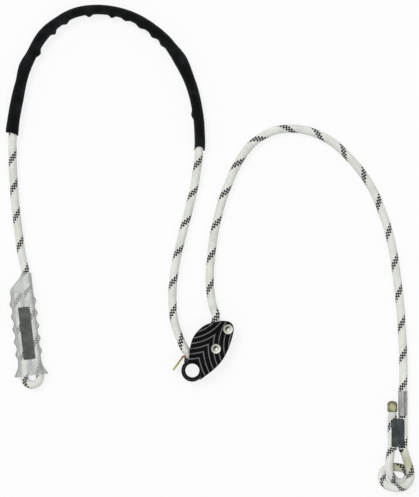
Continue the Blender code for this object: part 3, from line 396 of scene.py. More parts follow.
adjuster_place = Matrix.Translation(PIVOT)
width, length = PLATE_SIZE
adjuster_points = [(x * width, y * length, IN_PLATES) for x, y in in_adjuster_shares]
adjuster_line = evenly_spaced(smooth_path(adjuster_points, ADJUSTER_ROUGH), ADJUSTER_STEP)
load_joint = leaving(adjuster_line, adjuster_place)
free_joint = leaving(adjuster_line[::-1], adjuster_place)
left_line, right_line = left_eye_line(), right_eye_line()
left_joint, right_joint = leaving(left_line, LEFT_EYE), leaving(right_line, RIGHT_EYE)

lines = {
    "left_eye_rope": [LEFT_EYE @ spot for spot in left_line[::-1]],
    "load_side_rope": smooth_path([*left_joint, *load_side_route, *load_joint[::-1]], FINE),
    "adjuster_rope": [adjuster_place @ spot for spot in smooth_path(adjuster_line, ADJUSTER_FINE)],
    "free_side_rope": smooth_path([*free_joint, *free_side_route, *right_joint[::-1]], FINE),
    "right_eye_rope": [RIGHT_EYE @ spot for spot in right_line],
}
for name, line in lines.items():
    print(f"{name}: {length_of(line) * 1000:.0f} mm")

# %% [markdown]
# A rope's sheath is braided from bundles of thread, 12 winding left and 12 winding right, each over
# and under the next. Two sums along the two windings tell which bundle lies on top at any point and
# how far the point is from that bundle's middle. The tracer, the black pattern, is simply three
# neighbouring bundles of black thread: they show as a chequered band once in every turn, about
# 41 mm apart, and closer where the braid is pushed together. So the count of turns goes from one
# known place of the band to the next.

# %% How a braid works
BUNDLES = 12
BRAID_PITCH = 0.0034
TRACER_BUNDLES = 3
DOT_REACH, DOT_POWER = 0.55, 1.35
# How far from the left eye's tail the band shows on top, and in which turn
TRACER_PLACES = (
    (0.0090, 0), (0.2613, 7), (0.2848, 8), (0.4376, 12), (0.9675, 25), (1.2091, 31), (1.3009, 33),
    (1.5985, 40), (2.0106, 50), (2.0911, 52), (2.1296, 53), (2.1816, 55), (2.2676, 57),
    (2.3469, 59),
)
FROM_BAND_TO_COUNT = -1.5


def bundles_at(walked):
    """How many bundles the braid has gone on by, this far along the rope."""
    for (start, turn), (end, next_turn) in zip(TRACER_PLACES, TRACER_PLACES[1:]):
        if walked < end:
            break
    turns = turn + (walked - start) / (end - start) * (next_turn - turn)
    return BUNDLES * turns + FROM_BAND_TO_COUNT


def braid(across, along):
    """From the place across and along, counted in bundles: the pillow's height from 0 to 1, which
    winding lies on top, the black dots, and the place within the bundle."""
    windings = [across + along, across - along]
    within = [winding.fract() - 0.5 for winding in windings]
    falls = [(place * math.pi).cosine() for place in within]
    pillow = (falls[0] * falls[1]).most(0.0) ** 0.6
    top = (windings[0].floor() + windings[1].floor()) % 2.0
    # A black bundle shows where it lies on top, as a dot a little fuller than its own cell
    column, row = across.floor(), along.rounded()
    black = ((column + row) % float(BUNDLES)).below(TRACER_BUNDLES - 0.5)
    aside, ahead = abs(across - column - 0.5), abs(along - row)
    dot = (aside**DOT_POWER + ahead**DOT_POWER).below(DOT_REACH**DOT_POWER)
    return pillow, top, black * dot, within


# %% [markdown]
# Now the sheath itself. Sweeping a circle along a curve gives a plain tube, and a picture of a
# braid on it would do from afar. But the sheath is what most of this object is, so each bundle
# gets its own swell. The tree turns the line into a tube, places every point from the ring it
# belongs to, and lets the braid press it in where bundles cross. The black sleeve will be swept
# the same way, so the sweep is two functions that both trees use.

# %% A tree that braids a sheath round a line
VECTOR_LAYERS, NUMBER_LAYERS = ("centre", "to_left", "to_right", "upwards"), ("along", "fold")
LINE_LAYERS = (*VECTOR_LAYERS, *NUMBER_LAYERS, "around")


def swept_ring(given, capped):
    """A tube along the line, with each point's share of the way round, the cosine of that turn, the
    reach from the ring's centre to its rim, and the place on the rim."""
    tree = given["Geometry"].tree
    curve = wire(tree, "GeometryNodeMeshToCurve", {"Mesh": given["Geometry"]})
    steps = given["Steps Round"]
    circle = wire(tree, "GeometryNodeCurvePrimitiveCircle", {"Resolution": steps})
    circle = store(circle, "around", wire(tree, "GeometryNodeInputIndex") / steps)
    sweep = {"Curve": curve, "Profile Curve": circle, "Fill Caps": capped}
    tube = wire(tree, "GeometryNodeCurveToMesh", sweep)
    centre, left, right, up = [stored(tree, name, "FLOAT_VECTOR") for name in VECTOR_LAYERS]
    around = stored(tree, "around")
    angle = around * math.tau
    cosine, sine = angle.cosine(), angle.sine()
    sides = {"False": left.vector("SCALE", cosine), "True": right.vector("SCALE", cosine)}
    sides["Switch"] = cosine.above(0.0)
    sideways = wire(tree, "GeometryNodeSwitch", sides, "Output", input_type="VECTOR")
    rim = sideways.vector("ADD", up.vector("SCALE", sine))
    return tube, around, cosine, rim, centre.vector("ADD", rim)


def finished_ring(given, tube, around, rim, place, pushed, map_name, map_width):
    """Pushes each point out along its reach and lays a map on the tube, this wide all round."""
    tree = tube.tree
    push = rim.vector("NORMALIZE").vector("SCALE", pushed)
    moved = {"Geometry": tube, "Position": place.vector("ADD", push)}
    tube = wire(tree, "GeometryNodeSetPosition", moved)
    tube = wire(tree, "GeometryNodeFlipFaces", {"Mesh": tube})
    # The faces that close the ring run on to a whole turn instead of back to none
    settings = {"data_type": "FLOAT", "domain": "FACE"}
    middle = wire(tree, "GeometryNodeFieldOnDomain", {"Value": around}, **settings)
    closing = (middle - around).above(0.25)
    spot = {"X": (around + closing) * map_width, "Y": stored(tree, "along")}
    tube = store(tube, map_name, wire(tree, "ShaderNodeCombineXYZ", spot), "FLOAT2", "CORNER")
    tube = wire(tree, "GeometryNodeSetShadeSmooth", {"Geometry": tube})
    return close_tree(tube, given["Material"])


def sheath_tree():
    inputs = ("Steps Round", "Int", 5 * BUNDLES), ("Swell", "Float", 0.0003)
    tree, given = shaping_tree("braided_sheath", *inputs)
    tube, around, _, rim, place = swept_ring(given, True)
    pillow = braid(around * float(BUNDLES), stored(tree, "along"))[0]
    pressed = (pillow - 1.0) * given["Swell"]
    return finished_ring(given, tube, around, rim, place, pressed, "braid", float(BUNDLES))


# %% [markdown]
# The sweep asks at every point of the line where left, right and up are, and how far the rope
# reaches that way. A curve has one radius for all of these, and a sewn rope is wider than it is
# high. So the line is a mesh of points and edges that carries them as attributes.


# %% The line as a mesh
def line_mesh(name, path, section, counted):
    """The line as a mesh of points and edges. The section gives, for a spot and its number, how far
    the ring reaches to the left, to the right and up, and a value kept as fold. The last function
    turns the way walked into a count of bundles or threads."""
    layers = {layer: [] for layer in VECTOR_LAYERS + NUMBER_LAYERS}
    walked = 0
    for index, spot in enumerate(path):
        before, after = path[max(index - 1, 0)], path[min(index + 1, len(path) - 1)]
        ahead = (after - before).normalized()
        right = ahead.cross(Vector((0, 0, 1))).normalized()
        walked += (spot - before).length
        to_left, to_right, up, fold = section(spot, index)
        vectors = (spot, right * to_left, right * to_right, right.cross(ahead) * up)
        for layer, vector in zip(VECTOR_LAYERS, vectors):
            layers[layer].extend(vector)
        layers["along"].append(counted(walked))
        layers["fold"].append(fold)
    mesh = bpy.data.meshes.new(name)
    mesh.from_pydata(path, [(index, index + 1) for index in range(len(path) - 1)], [])
    for layer, values in layers.items():
        single = layer in NUMBER_LAYERS
        made = mesh.attributes.new(layer, "FLOAT" if single else "FLOAT_VECTOR", "POINT")
        made.data.foreach_set("value" if single else "vector", values)
    return mesh


sheath = sheath_tree()
print("the sheath's tree has", len(sheath.nodes), "nodes")

# %% [markdown]
# A finish has plain values, the same all over, and others that change from place to place. Nearly
# all of those are mixed from the same few things: a cloudy noise, the distance from a spot, and a
# stretch of one value spread over another.


# %% Helpers for finishes
def linear(code):
    """A colour as the eye reads it on a screen, such as d8dcd4, as the light that it stands for."""
    values = [int(code[at:at + 2], 16) / 255 for at in (0, 2, 4)]
    return [v / 12.92 if v <= 0.04045 else ((v + 0.055) / 1.055) ** 2.4 for v in values] + [1.0]


class Finish:
    """A material and its shader, whose plain values are set on the shader's own sockets."""

    def __init__(self, name, **constants):
        self.material = bpy.data.materials.new(name)
        self.material.use_nodes = True
        self.tree = self.material.node_tree
        self.shader = self.tree.nodes["Principled BSDF"]
        for label, value in constants.items():
            self.shader.inputs[label.replace("_", " ")].default_value = value

    def place(self):
        """Where on the object a point lies, in metres."""
        return wire(self.tree, "ShaderNodeTexCoord", out="Object")

    def feed(self, **varying):
        """Joins to the shader what changes over the surface."""
        for label, value in varying.items():
            self.tree.links.new(value.socket, self.shader.inputs[label.replace("_", " ")])

    def bump(self, height, distance, strength):
        given = {"Height": height, "Distance": distance, "Strength": strength}
        self.feed(Normal=wire(self.tree, "ShaderNodeBump", given, "Normal"))


def mixed(share, first, second):
    """One colour turning into another by a share from 0 to 1. Either may be a colour's code."""
    first, second = [linear(c) if isinstance(c, str) else c for c in (first, second)]
    given = {0: share, 6: first, 7: second}
    return wire(share.tree, "ShaderNodeMix", given, 2, data_type="RGBA")


def cloudy(place, scale, detail=3.0):
    given = {"Vector": place, "Scale": scale, "Detail": detail}
    return wire(place.tree, "ShaderNodeTexNoise", given, "Fac")


def flat_distance(place, centre):
    """How far this point is from a centre, seen from above."""
    flat = place.vector("SUBTRACT", centre).vector("MULTIPLY", (1.0, 1.0, 0.0))
    return flat.vector("LENGTH", out="Value")


def spread(value, low, high, to_low=0.0, to_high=1.0):
    """The stretch of a value between low and high, spread from 0 to 1 or from to_low to to_high."""
    given = {"Value": value, "From Min": low, "From Max": high, "To Min": to_low, "To Max": to_high}
    return wire(value.tree, "ShaderNodeMapRange", given, "Result")


# %% [markdown]
# Thread is a soft white that is never quite clean, and a grey-green shade is painted into the
# valleys where bundles cross. The colour comes from the braid's own sums, so every black dot is
# exactly one bundle, and fine lines across the pillow stand for the threads in it.

# %% The finish of the sheath
TRACER_BLACK, STAIN = "08080a", "b5b490"
RIGHT_EYE_STAINS = (((0.2620, -0.2830, 0.0), 0.021), ((0.2480, -0.2890, 0.0), 0.013))


def sheath_finish(name, white, shade, stains=()):
    finish = Finish(name, Sheen_Weight=0.15, Specular_IOR_Level=0.3)
    across, along, _ = wire(finish.tree, "ShaderNodeUVMap", uv_map="braid").split()
    pillow, top, tracer, within = braid(across, along)
    place = finish.place()
    dirt = spread(cloudy(place, 60.0), 0.42, 0.75, 0.0, 0.5)
    pale = mixed(dirt, white, shade)
    # Painted shade: the valleys between pillows are mixed towards the shade colour, which the dirt
    # uses too
    valley_shade = spread(pillow, 0.55, 0.1)
    pale = mixed(valley_shade * 0.55, pale, shade)
    for centre, size in stains:
        soft = spread(flat_distance(place, centre), size, 0.2 * size, 0.0, 0.75)
        pale = mixed(soft, pale, STAIN)
    roughness = spread(cloudy(place, 900.0), 0.3, 0.7, 0.62, 0.85)
    finish.feed(Base_Color=mixed(tracer, pale, TRACER_BLACK), Roughness=roughness)
    threads = within[0] * (1.0 - top) + within[1] * top
    finish.bump((threads * 44.0).sine(), 0.00006, 0.6)
    return finish.material


rope_white = sheath_finish("rope_sheath", "eceee8", "bfc3b8")
rope_stained = sheath_finish("stained_sheath", "eceee9", "bcbfb6", RIGHT_EYE_STAINS)

# %% [markdown]
# A rope is round, but thread presses it flat where an eye is sewn. So the ring that is swept takes
# its width and height from its place along the eye. Inside the black sleeve nobody sees the braid,
# and rings stand further apart there.

# %% The rope's section
FLAT_HALF_WIDTH, FLAT_HALF_HEIGHT, FLATTENING = 0.0064, 0.0046, 0.0048
RING_STEP = BRAID_PITCH / 5
SLEEVE_FROM_Y, SLEEVE_TO_Y = 0.1515, 0.1300
VISIBLE_RINGS, KEPT_RING = 30, 8


def ease(value):
    value = min(1, max(0, value))
    return value * value * (3 - 2 * value)


def sewn_section(eye, seam):
    """The rope's half width and height in an eye, where thread presses it flat."""
    back, reach = eye.inverted(), SEAM_MARGIN + FLATTENING

    def section(spot, index):
        height = (back @ spot).y
        share = ease((seam[1] + reach - height) / FLATTENING)
        share *= ease((height - seam[0] + reach) / FLATTENING)
        half_width = ROPE_RADIUS + (FLAT_HALF_WIDTH - ROPE_RADIUS) * share
        return half_width, half_width, ROPE_RADIUS + (FLAT_HALF_HEIGHT - ROPE_RADIUS) * share, 0.0

    return section


def round_section(spot, index):
    return ROPE_RADIUS, ROPE_RADIUS, ROPE_RADIUS, 0.0


def in_sleeve(path):
    """The numbers of the first and the last point that the sleeve covers."""
    crown = max(range(len(path)), key=lambda index: path[index].y)
    first = min(range(crown), key=lambda index: abs(path[index].y - SLEEVE_FROM_Y))
    return first, min(range(crown, len(path)), key=lambda index: abs(path[index].y - SLEEVE_TO_Y))


# %% [markdown]
# With the tree and the finish ready, the five stretches are made in one loop. Each goes on
# counting its bundles where the last one stopped, so the tracer runs through from eye to eye. The
# right eye has been handled most, so it has a few yellow stains.

# %% The five stretches of rope
# Each stretch, with the solid that it stands for, its section and its finish
stretches = {
    "left_eye_rope": ("left_sewn_eye", sewn_section(LEFT_EYE, LEFT_SEAM), rope_white),
    "load_side_rope": ("rope_load_side", round_section, rope_white),
    "adjuster_rope": ("rope_in_adjuster", round_section, rope_white),
    "free_side_rope": ("rope_free_side", round_section, rope_white),
    "right_eye_rope": ("right_sewn_eye", sewn_section(RIGHT_EYE, RIGHT_SEAM), rope_stained),
}
ropes, walked = {}, 0
for name, (node, section, finish) in stretches.items():
    path = evenly_spaced(lines[name], RING_STEP)
    if name == "load_side_rope":
        first, last = in_sleeve(path)
        first, last = first + VISIBLE_RINGS, last - VISIBLE_RINGS
        path = path[:first] + path[first:last:KEPT_RING] + path[last:]
    mesh = line_mesh(name, path, section, lambda way, start=walked: bundles_at(start + way))
    walked += length_of(path)
    ropes[name] = shaped(name, mesh, sheath, {"Material": finish}, LINE_LAYERS)
    handed_over(ropes[name], "rope", node)

# %% [markdown]
# The black sleeve is a woven tube that the climber slides along the rope. It is a little too long
# for its bend, so it gathers in wrinkles on the inner side. A cloth simulation could find such
# wrinkles, but not these ones. So the same sweep makes it, with a fold value that says where along
# the sleeve each wrinkle swells, and a soft noise that keeps the folds from looking machine made.


# %% A tree that sweeps the sleeve
def sleeve_tree():
    steps = ("Steps Round", "Int", 48)
    inputs = steps, ("Sag", "Float", 0.0005), ("Seed", "Float", 4.0)
    tree, given = shaping_tree("gathered_sleeve", *inputs)
    tube, around, cosine, rim, place = swept_ring(given, False)
    soft = {"Vector": place, "W": given["Seed"], "Scale": 90.0, "Detail": 2.0}
    clouds = wire(tree, "ShaderNodeTexNoise", soft, "Fac", noise_dimensions="4D")
    # Sinks in between the folds on the inner side, and a little everywhere
    between = cosine.most(0.0) * (1.0 - stored(tree, "fold"))
    sunk = (between * 0.8 + clouds) * (given["Sag"] * -1.0)
    return finished_ring(given, tube, around, rim, place, sunk, "weave", 1.0)


# %% [markdown]
# Close up, the sleeve is webbing woven into a tube: ribs run along it, and a finer thread crosses
# them. Both are sums on the tube's own map, so the weave bends with the sleeve. Shade is painted
# between the threads, and lighter patches stand partly for dust and partly for a painted sheen.

# %% The finish of the sleeve
SLEEVE_RIBS = 26
SLEEVE_PICK = 0.0011


def sleeve_finish():
    """Tubular webbing: lengthwise ribs crossed by a fine weft, matt and very dark."""
    finish = Finish("woven_sleeve", Roughness=0.92, Sheen_Weight=0.1, Specular_IOR_Level=0.06)
    across, along, _ = wire(finish.tree, "ShaderNodeUVMap", uv_map="weave").split()
    ribs = across * float(SLEEVE_RIBS)
    picks = along + ribs.floor() * 0.5
    rib, pick = [(count.fract() * math.pi).sine() for count in (ribs, picks)]
    weave = rib * pick
    # Lighter patches from a noise: partly dust, partly a painted sheen
    dust_and_sheen = spread(cloudy(finish.place(), 48.0, 5.0), 0.48, 0.72, 0.0, 0.75)
    # Painted shade: darker between the threads, lighter on their crowns
    dark = mixed(weave**2.0, "070808", "111314")
    finish.feed(Base_Color=mixed(dust_and_sheen, dark, "22262a"))
    finish.bump(weave, 0.0003, 0.8)
    return finish.material


# %% [markdown]
# The sleeve's outline is measured: how far it reaches outwards, how far inwards, and where its
# wrinkles are. As shares of its length these numbers stay right when the rope's line changes.

# %% How far the sleeve reaches
SLEEVE_HALF_HEIGHT = 0.0075
# How far the sleeve reaches outwards and inwards from the rope's line, in millimetres, at shares of
# its length: it kinks in a few places, and is drawn tight over the rope in between
OUTER_REACH = (
    (0.0, 9.9), (0.06, 8.7), (0.14, 8.3), (0.19, 10.4), (0.235, 8.2), (0.285, 9.3), (0.36, 7.0),
    (0.5, 6.9), (0.62, 7.2), (0.69, 7.8), (0.74, 10.1), (0.81, 8.2), (0.9, 7.8), (1.0, 8.0),
)
INNER_REACH = (
    (0.0, 7.9), (0.09, 9.0), (0.17, 7.2), (0.3, 7.0), (0.5, 6.8), (0.66, 7.4), (0.74, 8.8),
    (0.83, 7.4), (1.0, 7.2),
)
# Each wrinkle's place, height in millimetres and half length
WRINKLES = (
    (0.240, 2.8, 8.0), (0.316, 3.2, 7.0), (0.362, 2.2, 7.0), (0.437, 2.8, 6.5), (0.504, 2.7, 6.5),
    (0.545, 1.8, 8.0), (0.593, 2.0, 9.0), (0.639, 2.4, 9.0), (0.675, 1.8, 8.0), (0.900, 1.7, 8.0),
)
END_REACH, RIGHT_END_DIP, LEFT_END_DIP, LEFT_END_SLANT = 0.016, 0.0050, 0.0012, 0.22
SLEEVE_RING_STEP, SLEEVE_THICKNESS = 0.0014, 0.001

fine = evenly_spaced(lines["load_side_rope"], MM)
first, last = in_sleeve(fine)
sleeve_path = evenly_spaced(fine[first:last + 1], SLEEVE_RING_STEP)
SLEEVE_LENGTH = length_of(sleeve_path)
print(f"the sleeve is {SLEEVE_LENGTH * 1000:.0f} mm long")

# %% [markdown]
# The wrinkles swell on the inner side only. A tube that was cut by hand hangs a little at its ends,
# and that comes last, on the finished mesh. Its wall is a Solidify modifier, turned inwards.


# %% The sleeve
def reach_at(table, share):
    """A table's value at this share, eased from one entry to the next."""
    for (start, first), (end, second) in zip(table, table[1:]):
        if share <= end:
            return (first + (second - first) * ease((share - start) / (end - start))) * MM


def sleeve_section(spot, index):
    share = index / (len(sleeve_path) - 1)
    folds = [
        (ease(1 - abs(share - place) * SLEEVE_LENGTH / (half * MM)), height * MM)
        for place, height, half in WRINKLES
    ]
    fold, height = max(folds, key=lambda pair: pair[0] * pair[1])
    inner = reach_at(INNER_REACH, share) + fold * height
    return reach_at(OUTER_REACH, share), inner, SLEEVE_HALF_HEIGHT, fold


def shape_ends(mesh):
    """The right end dips above the rope, and the left one is cut at a slant."""
    left, right = sleeve_path[0], sleeve_path[-1]
    for vertex in mesh.vertices:
        over = max(0, vertex.co.z - IN_SLEEVE) / SLEEVE_HALF_HEIGHT
        if (vertex.co - right).length < 2 * END_REACH:
            vertex.co.y += RIGHT_END_DIP * over * ease(1 - (vertex.co.y - right.y) / END_REACH)
        elif (vertex.co - left).length < 2 * END_REACH:
            slant = LEFT_END_DIP * over - LEFT_END_SLANT * (vertex.co.x - left.x)
            vertex.co.y += slant * ease(1 - (vertex.co.y - left.y) / END_REACH)


sleeve_line = line_mesh(
    "wear_sleeve_line", sleeve_path, sleeve_section, lambda way: way / SLEEVE_PICK
)
values = {"Material": sleeve_finish()}
woven_sleeve = shaped("woven_sleeve", sleeve_line, sleeve_tree(), values, LINE_LAYERS)
shape_ends(woven_sleeve.data)
wall = woven_sleeve.modifiers.new("wall", "SOLIDIFY")
wall.thickness, wall.offset = SLEEVE_THICKNESS, -1
handed_over(woven_sleeve, "wear_sleeve", "wear_sleeve")

# %% [markdown]
# The other pieces of the rope's ends are shells. A loft joins one ring of points to the next, and
# a turned shape is a loft whose rings are circles round one axis. Both are closed, and their faces
# are turned outwards once every point is merged.

# %% Lofted and turned shapes
SAME_SPOT, NO_LENGTH = 1e-7, 1e-8


def joined(work, low, high):
    """Faces all the way round, from one ring of points to the next."""
    for corners in zip(low, low[1:] + low[:1], high[1:] + high[:1], high):
        work.faces.new(corners)


def finished_mesh(work, name, smooth_angle):
    bmesh.ops.remove_doubles(work, verts=work.verts, dist=SAME_SPOT)
    bmesh.ops.recalc_face_normals(work, faces=work.faces)
    mesh = bpy.data.meshes.new(name)
    work.to_mesh(mesh)
    work.free()
    mesh.shade_smooth()
    mesh.set_sharp_from_angle(angle=math.radians(smooth_angle))
    return mesh


def lofted(name, walls, smooth_angle):
    """A closed mesh over rings of points. Two walls are an outer and an inner one, joined at both
    ends, and a single wall is closed by a face at each end."""
    work = bmesh.new()
    made = [[[work.verts.new(point) for point in ring] for ring in wall] for wall in walls]
    for wall in made:
        for low, high in zip(wall, wall[1:]):
            joined(work, low, high)
    for end in (0, -1):
        if len(made) == 1:
            work.faces.new(made[0][end])
        else:
            joined(work, made[0][end], made[1][end])
    return finished_mesh(work, name, smooth_angle)


def turned(name, profile, steps=64):
    """A mesh turned round Z from (radius, height) points that start and end on the axis."""
    work = bmesh.new()
    turns = [math.tau * step / steps for step in range(steps)]
    rings = [[(r * math.cos(a), r * math.sin(a), z) for a in turns] for r, z in profile]
    made = [[work.verts.new(point) for point in ring] for ring in rings]
    for low, high in zip(made, made[1:]):
        joined(work, low, high)
    bmesh.ops.remove_doubles(work, verts=work.verts, dist=SAME_SPOT)
    bmesh.ops.dissolve_degenerate(work, edges=work.edges, dist=NO_LENGTH)
    return finished_mesh(work, name, 35)


# %% [markdown]
# The left eye lies under a clear cover that is crimped along both edges, so its outline waves. A
# cover like this could be cut from a tube with a sculpting tool. Here it is lofted: at each height
# a ring runs over the rope, dips to a thin welded edge on each side, and comes back underneath.

# %% The clear cover of the left eye
SCALLOP_DEPTH, SCALLOP_PITCH, SCALLOP_COUNT, SCALLOP_START = 0.0026, 0.0168, 5, 0.0315
COVER_WALL, WELD_HALF_HEIGHT, COVER_HEM = 0.0006, 0.0009, 0.002
LIP_WIDTH, LIP_LENGTH, LIP_ROUNDING, LIP_END_SHARE = 0.0046, 0.0122, 0.0014, 0.4
COVER_SHOULDER, COVER_STEPS = 0.023, 150
ARC = [math.radians(angle) for angle in (0, 12, 25, 38, 52, 66, 78, 90)]
# How far in from the welded edge's rim each point is, and its share of the edge's height
RIM = ((0.0, 0.3), (0.0002, 0.8), (0.0006, 1.0))
RIM_END, ROPE_TOUCH = 0.0012, 0.0001


def scallop(height, first):
    turn = (height - first) / SCALLOP_PITCH
    if not -0.5 < turn < SCALLOP_COUNT - 0.5:
        return 0
    return SCALLOP_DEPTH * (0.5 + 0.5 * math.cos(math.tau * turn)) ** 1.5


def cover_ring(height, left, right, left_more, right_more, thickness):
    """A ring that holds the rope between left and right, with a thin edge of this much more."""
    half = IN_COVER - COVER_WALL + thickness
    edge = WELD_HALF_HEIGHT - COVER_WALL + thickness
    top = []
    for side, core, more in ((1, right, right_more), (-1, left, left_more)):
        middle = core - half
        run = [(middle + half * math.cos(a), half * math.sin(a)) for a in ARC]
        run = [(x, max(z, edge if x > middle else z)) for x, z in run]
        reach = core + more + thickness
        rim = [(reach - inset, edge * share) for inset, share in RIM]
        rim.append((max(core - ROPE_TOUCH, reach - RIM_END), edge))
        points = [(side * x, z) for x, z in rim + run[1:]]
        top += points if side > 0 else points[::-1]
    ring = top + [(x, -z) for x, z in reversed(top)]
    return [(x, height, IN_COVER + z) for x, z in ring]


def cover_reach(height):
    """How far the cover holds the rope to the left and right at this height, and how much further
    its thin edges stand out."""
    snug = LEG_OFFSET + FLAT_HALF_WIDTH + CLEARANCE
    loop = LEFT_LOOP_RADIUS + ROPE_RADIUS + CLEARANCE
    low, high = LEFT_COVER
    right = snug + (loop - snug) * ease(1 - (height - low) / LEFT_SEAM[0])
    drawn = ease((height - high + COVER_SHOULDER) / COVER_SHOULDER)
    left = right - (snug + LEG_OFFSET - IN_COVER + COVER_WALL) * drawn
    past_tips = height - low - LIP_ROUNDING
    lip = LIP_WIDTH * max(0, 1 - max(0, past_tips) / LIP_LENGTH) ** 1.5
    lip *= 1 - (1 - LIP_END_SHARE) * max(0, -past_tips / LIP_ROUNDING) ** 2
    left_more = lip + COVER_HEM * (1 - drawn) + scallop(height, SCALLOP_START)
    return left, right, left_more, lip + scallop(height, SCALLOP_START + SCALLOP_PITCH / 8)


def cover_mesh():
    low, high = LEFT_COVER
    heights = [low + (high - low) * step / COVER_STEPS for step in range(COVER_STEPS + 1)]
    outer = [cover_ring(height, *cover_reach(height), COVER_WALL) for height in heights]
    inner = [cover_ring(height, *cover_reach(height)[:2], 0, 0, 0) for height in heights]
    mesh = lofted("clear_cover", [outer, inner], 60)
    weld = mesh.attributes.new("weld", "FLOAT", "POINT")
    for vertex in mesh.vertices:
        left, right, left_more, right_more = cover_reach(vertex.co.y)
        core, more = (right, right_more) if vertex.co.x > 0 else (left, left_more)
        past = (abs(vertex.co.x) - core) / max(more, COVER_WALL)
        weld.data[vertex.index].value = min(1, max(0, past))
    mesh.transform(LEFT_EYE)
    return mesh


# %% [markdown]
# Such plastic is cloudy rather than clear. A glass shader would darken what lies under the thin
# wall, so this finish is see-through by its Alpha, and its place over the eye says how much.

# %% The finish of the cover
# Where its looks change: beside the seam, past its ends, and below and round the legs, where shade
# is painted
SEAM_SIDE, SEAM_FADE, BELOW_FADE, WRAP = (0.0072, 0.0092), 0.002, 0.0012, (0.0102, 0.0138)


def cover_finish():
    """Cloudy plastic: clear where it lies on the stitching, milky where air is under it, with a
    painted shade where it wraps round the legs and below them, and greyer along the welded edges."""
    finish = Finish("cloudy_cover", Specular_IOR_Level=0.4, Coat_Weight=0.3, Coat_Roughness=0.25)
    place = finish.place()
    own = {"Vector": place, "Location": LEFT_EYE.translation, "Rotation": LEFT_EYE.to_euler()}
    own = wire(finish.tree, "ShaderNodeMapping", own, vector_type="TEXTURE")
    x, y, z = own.split()
    milk = cloudy(place, 75.0, 4.0)
    weld = wire(finish.tree, "ShaderNodeAttribute", out="Fac", attribute_name="weld")
    middle, half = (LEFT_SEAM[0] + LEFT_SEAM[1]) / 2, (LEFT_SEAM[1] - LEFT_SEAM[0]) / 2
    past_seam = spread(abs(y - middle), half, half + SEAM_FADE)
    off_seam = spread(abs(x), *SEAM_SIDE).most(past_seam)
    cloud = spread(milk, 0.3, 0.7, 0.15, 0.29)
    veil = spread(off_seam, 0.0, 1.0, 0.03, 1.0)
    # Painted shade: greyer and denser under the rope and where the cover wraps round the legs
    below = spread(z, IN_COVER + BELOW_FADE, IN_COVER - BELOW_FADE)
    wrap_shade = spread(abs(x), *WRAP)
    in_weld, outline = spread(weld, 0.02, 0.3), spread(weld, 0.55, 0.95)
    thin = (cloud + wrap_shade * 0.10) * veil + below * 0.22 + in_weld * 0.14 + outline * 0.4
    pale = mixed(spread(milk, 0.35, 0.65), "f4f6f4", "dbdedb")
    # The colour of the painted shade below the rope and round the legs
    pale = mixed(below.most(wrap_shade * 0.7), pale, "b9bcb8")
    welded = mixed(in_weld, pale, "bfc2be")
    finish.feed(
        Alpha=thin.least(0.9), Base_Color=mixed(outline, welded, "8b8e8a"),
        Roughness=spread(milk, 0.3, 0.7, 0.28, 0.5),
    )
    finish.bump(cloudy(place, 260.0, 2.0), 0.0004, 0.35)
    return finish.material


clear_cover = linked("clear_cover", cover_mesh())
clear_cover.data.materials.append(cover_finish())
handed_over(clear_cover, "clear_cover", "left_eye_cover")

# %% [markdown]
# Both eyes are sewn by machine: rows of short zigzag stitches, so dense that they read as one dark
# block. Each stitch is the same small arched thread, so Geometry Nodes set it on a grid of points,
# turn every other one the other way, and let a seeded random value disturb the rows a little.

# %% A tree that sews rows of stitches
THREAD_RADIUS = 0.00042
STITCH_SIDES, STITCH_RINGS = 6, 7


def stitch_mesh():
    """One thread, a little arched, that dives into the rope at both ends."""
    turns = [math.tau * side / STITCH_SIDES for side in range(STITCH_SIDES)]
    rings = []
    for step in range(STITCH_RINGS):
        t = -1 + 2 * step / (STITCH_RINGS - 1)
        thick = THREAD_RADIUS * (0.55 + 0.45 * (1 - t * t))
        middle = Vector((0.5 * t, 0, -2.2 * THREAD_RADIUS * t**4))
        ring = [Vector((0, thick * math.cos(a), thick * math.sin(a))) for a in turns]
        rings.append([middle + spot for spot in ring])
    return lofted("stitch", [rings], 80)


def sewing_tree():
    tree, given = shaping_tree(
        "sewn_rows", ("Stitch", "Object", None), ("Columns", "Int", 5), ("Rows", "Int", 60),
        ("Width", "Float", 0.016), ("Length", "Float", 0.07), ("Height", "Float", 0.005),
        ("Slant", "Float", 0.30), ("Disorder", "Float", 0.0003), ("Seed", "Int", 3),
    )
    pitch = given["Width"] / given["Columns"]
    size = {"Size X": given["Width"] - pitch, "Size Y": given["Length"]}
    size |= {"Vertices X": given["Columns"], "Vertices Y": given["Rows"]}
    grid = wire(tree, "GeometryNodeMeshGrid", size)
    index = wire(tree, "GeometryNodeInputIndex")
    column, row = (index / given["Rows"]).floor(), index % given["Rows"]
    odd = (row + column) % 2.0
    slant = (odd * 2.0 - 1.0) * given["Slant"]
    loose = {"Min": (-1.0, -1.0, -0.4), "Max": (1.0, 1.0, 0.4), "Seed": given["Seed"]}
    loose = wire(tree, "FunctionNodeRandomValue", loose, "Value", data_type="FLOAT_VECTOR")
    loose = loose.vector("SCALE", given["Disorder"])
    stitch = wire(tree, "GeometryNodeObjectInfo", {"Object": given["Stitch"]}, "Geometry")
    long = wire(tree, "ShaderNodeCombineXYZ", {"X": pitch * 1.12, "Y": 1.0, "Z": 1.0})
    join = tree.nodes.new("GeometryNodeJoinGeometry")
    for side, rolled in ((1.0, 0.0), (-1.0, math.pi)):
        up = wire(tree, "ShaderNodeCombineXYZ", {"Z": given["Height"] * side})
        moved = {"Geometry": grid, "Offset": up.vector("ADD", loose)}
        turn = wire(tree, "ShaderNodeCombineXYZ", {"X": rolled, "Z": slant})
        rows = {"Points": wire(tree, "GeometryNodeSetPosition", moved), "Instance": stitch}
        rows |= {"Rotation": turn, "Scale": long}
        rows = wire(tree, "GeometryNodeInstanceOnPoints", rows)
        tree.links.new(rows.socket, join.inputs[0])
    return close_tree(Output(join.outputs[0]), given["Material"])


# %% [markdown]
# Under the rows that show lies more thread, which fills the seam. Nobody can tell its stitches
# apart, so a slab with soft, slightly ragged edges stands for it.


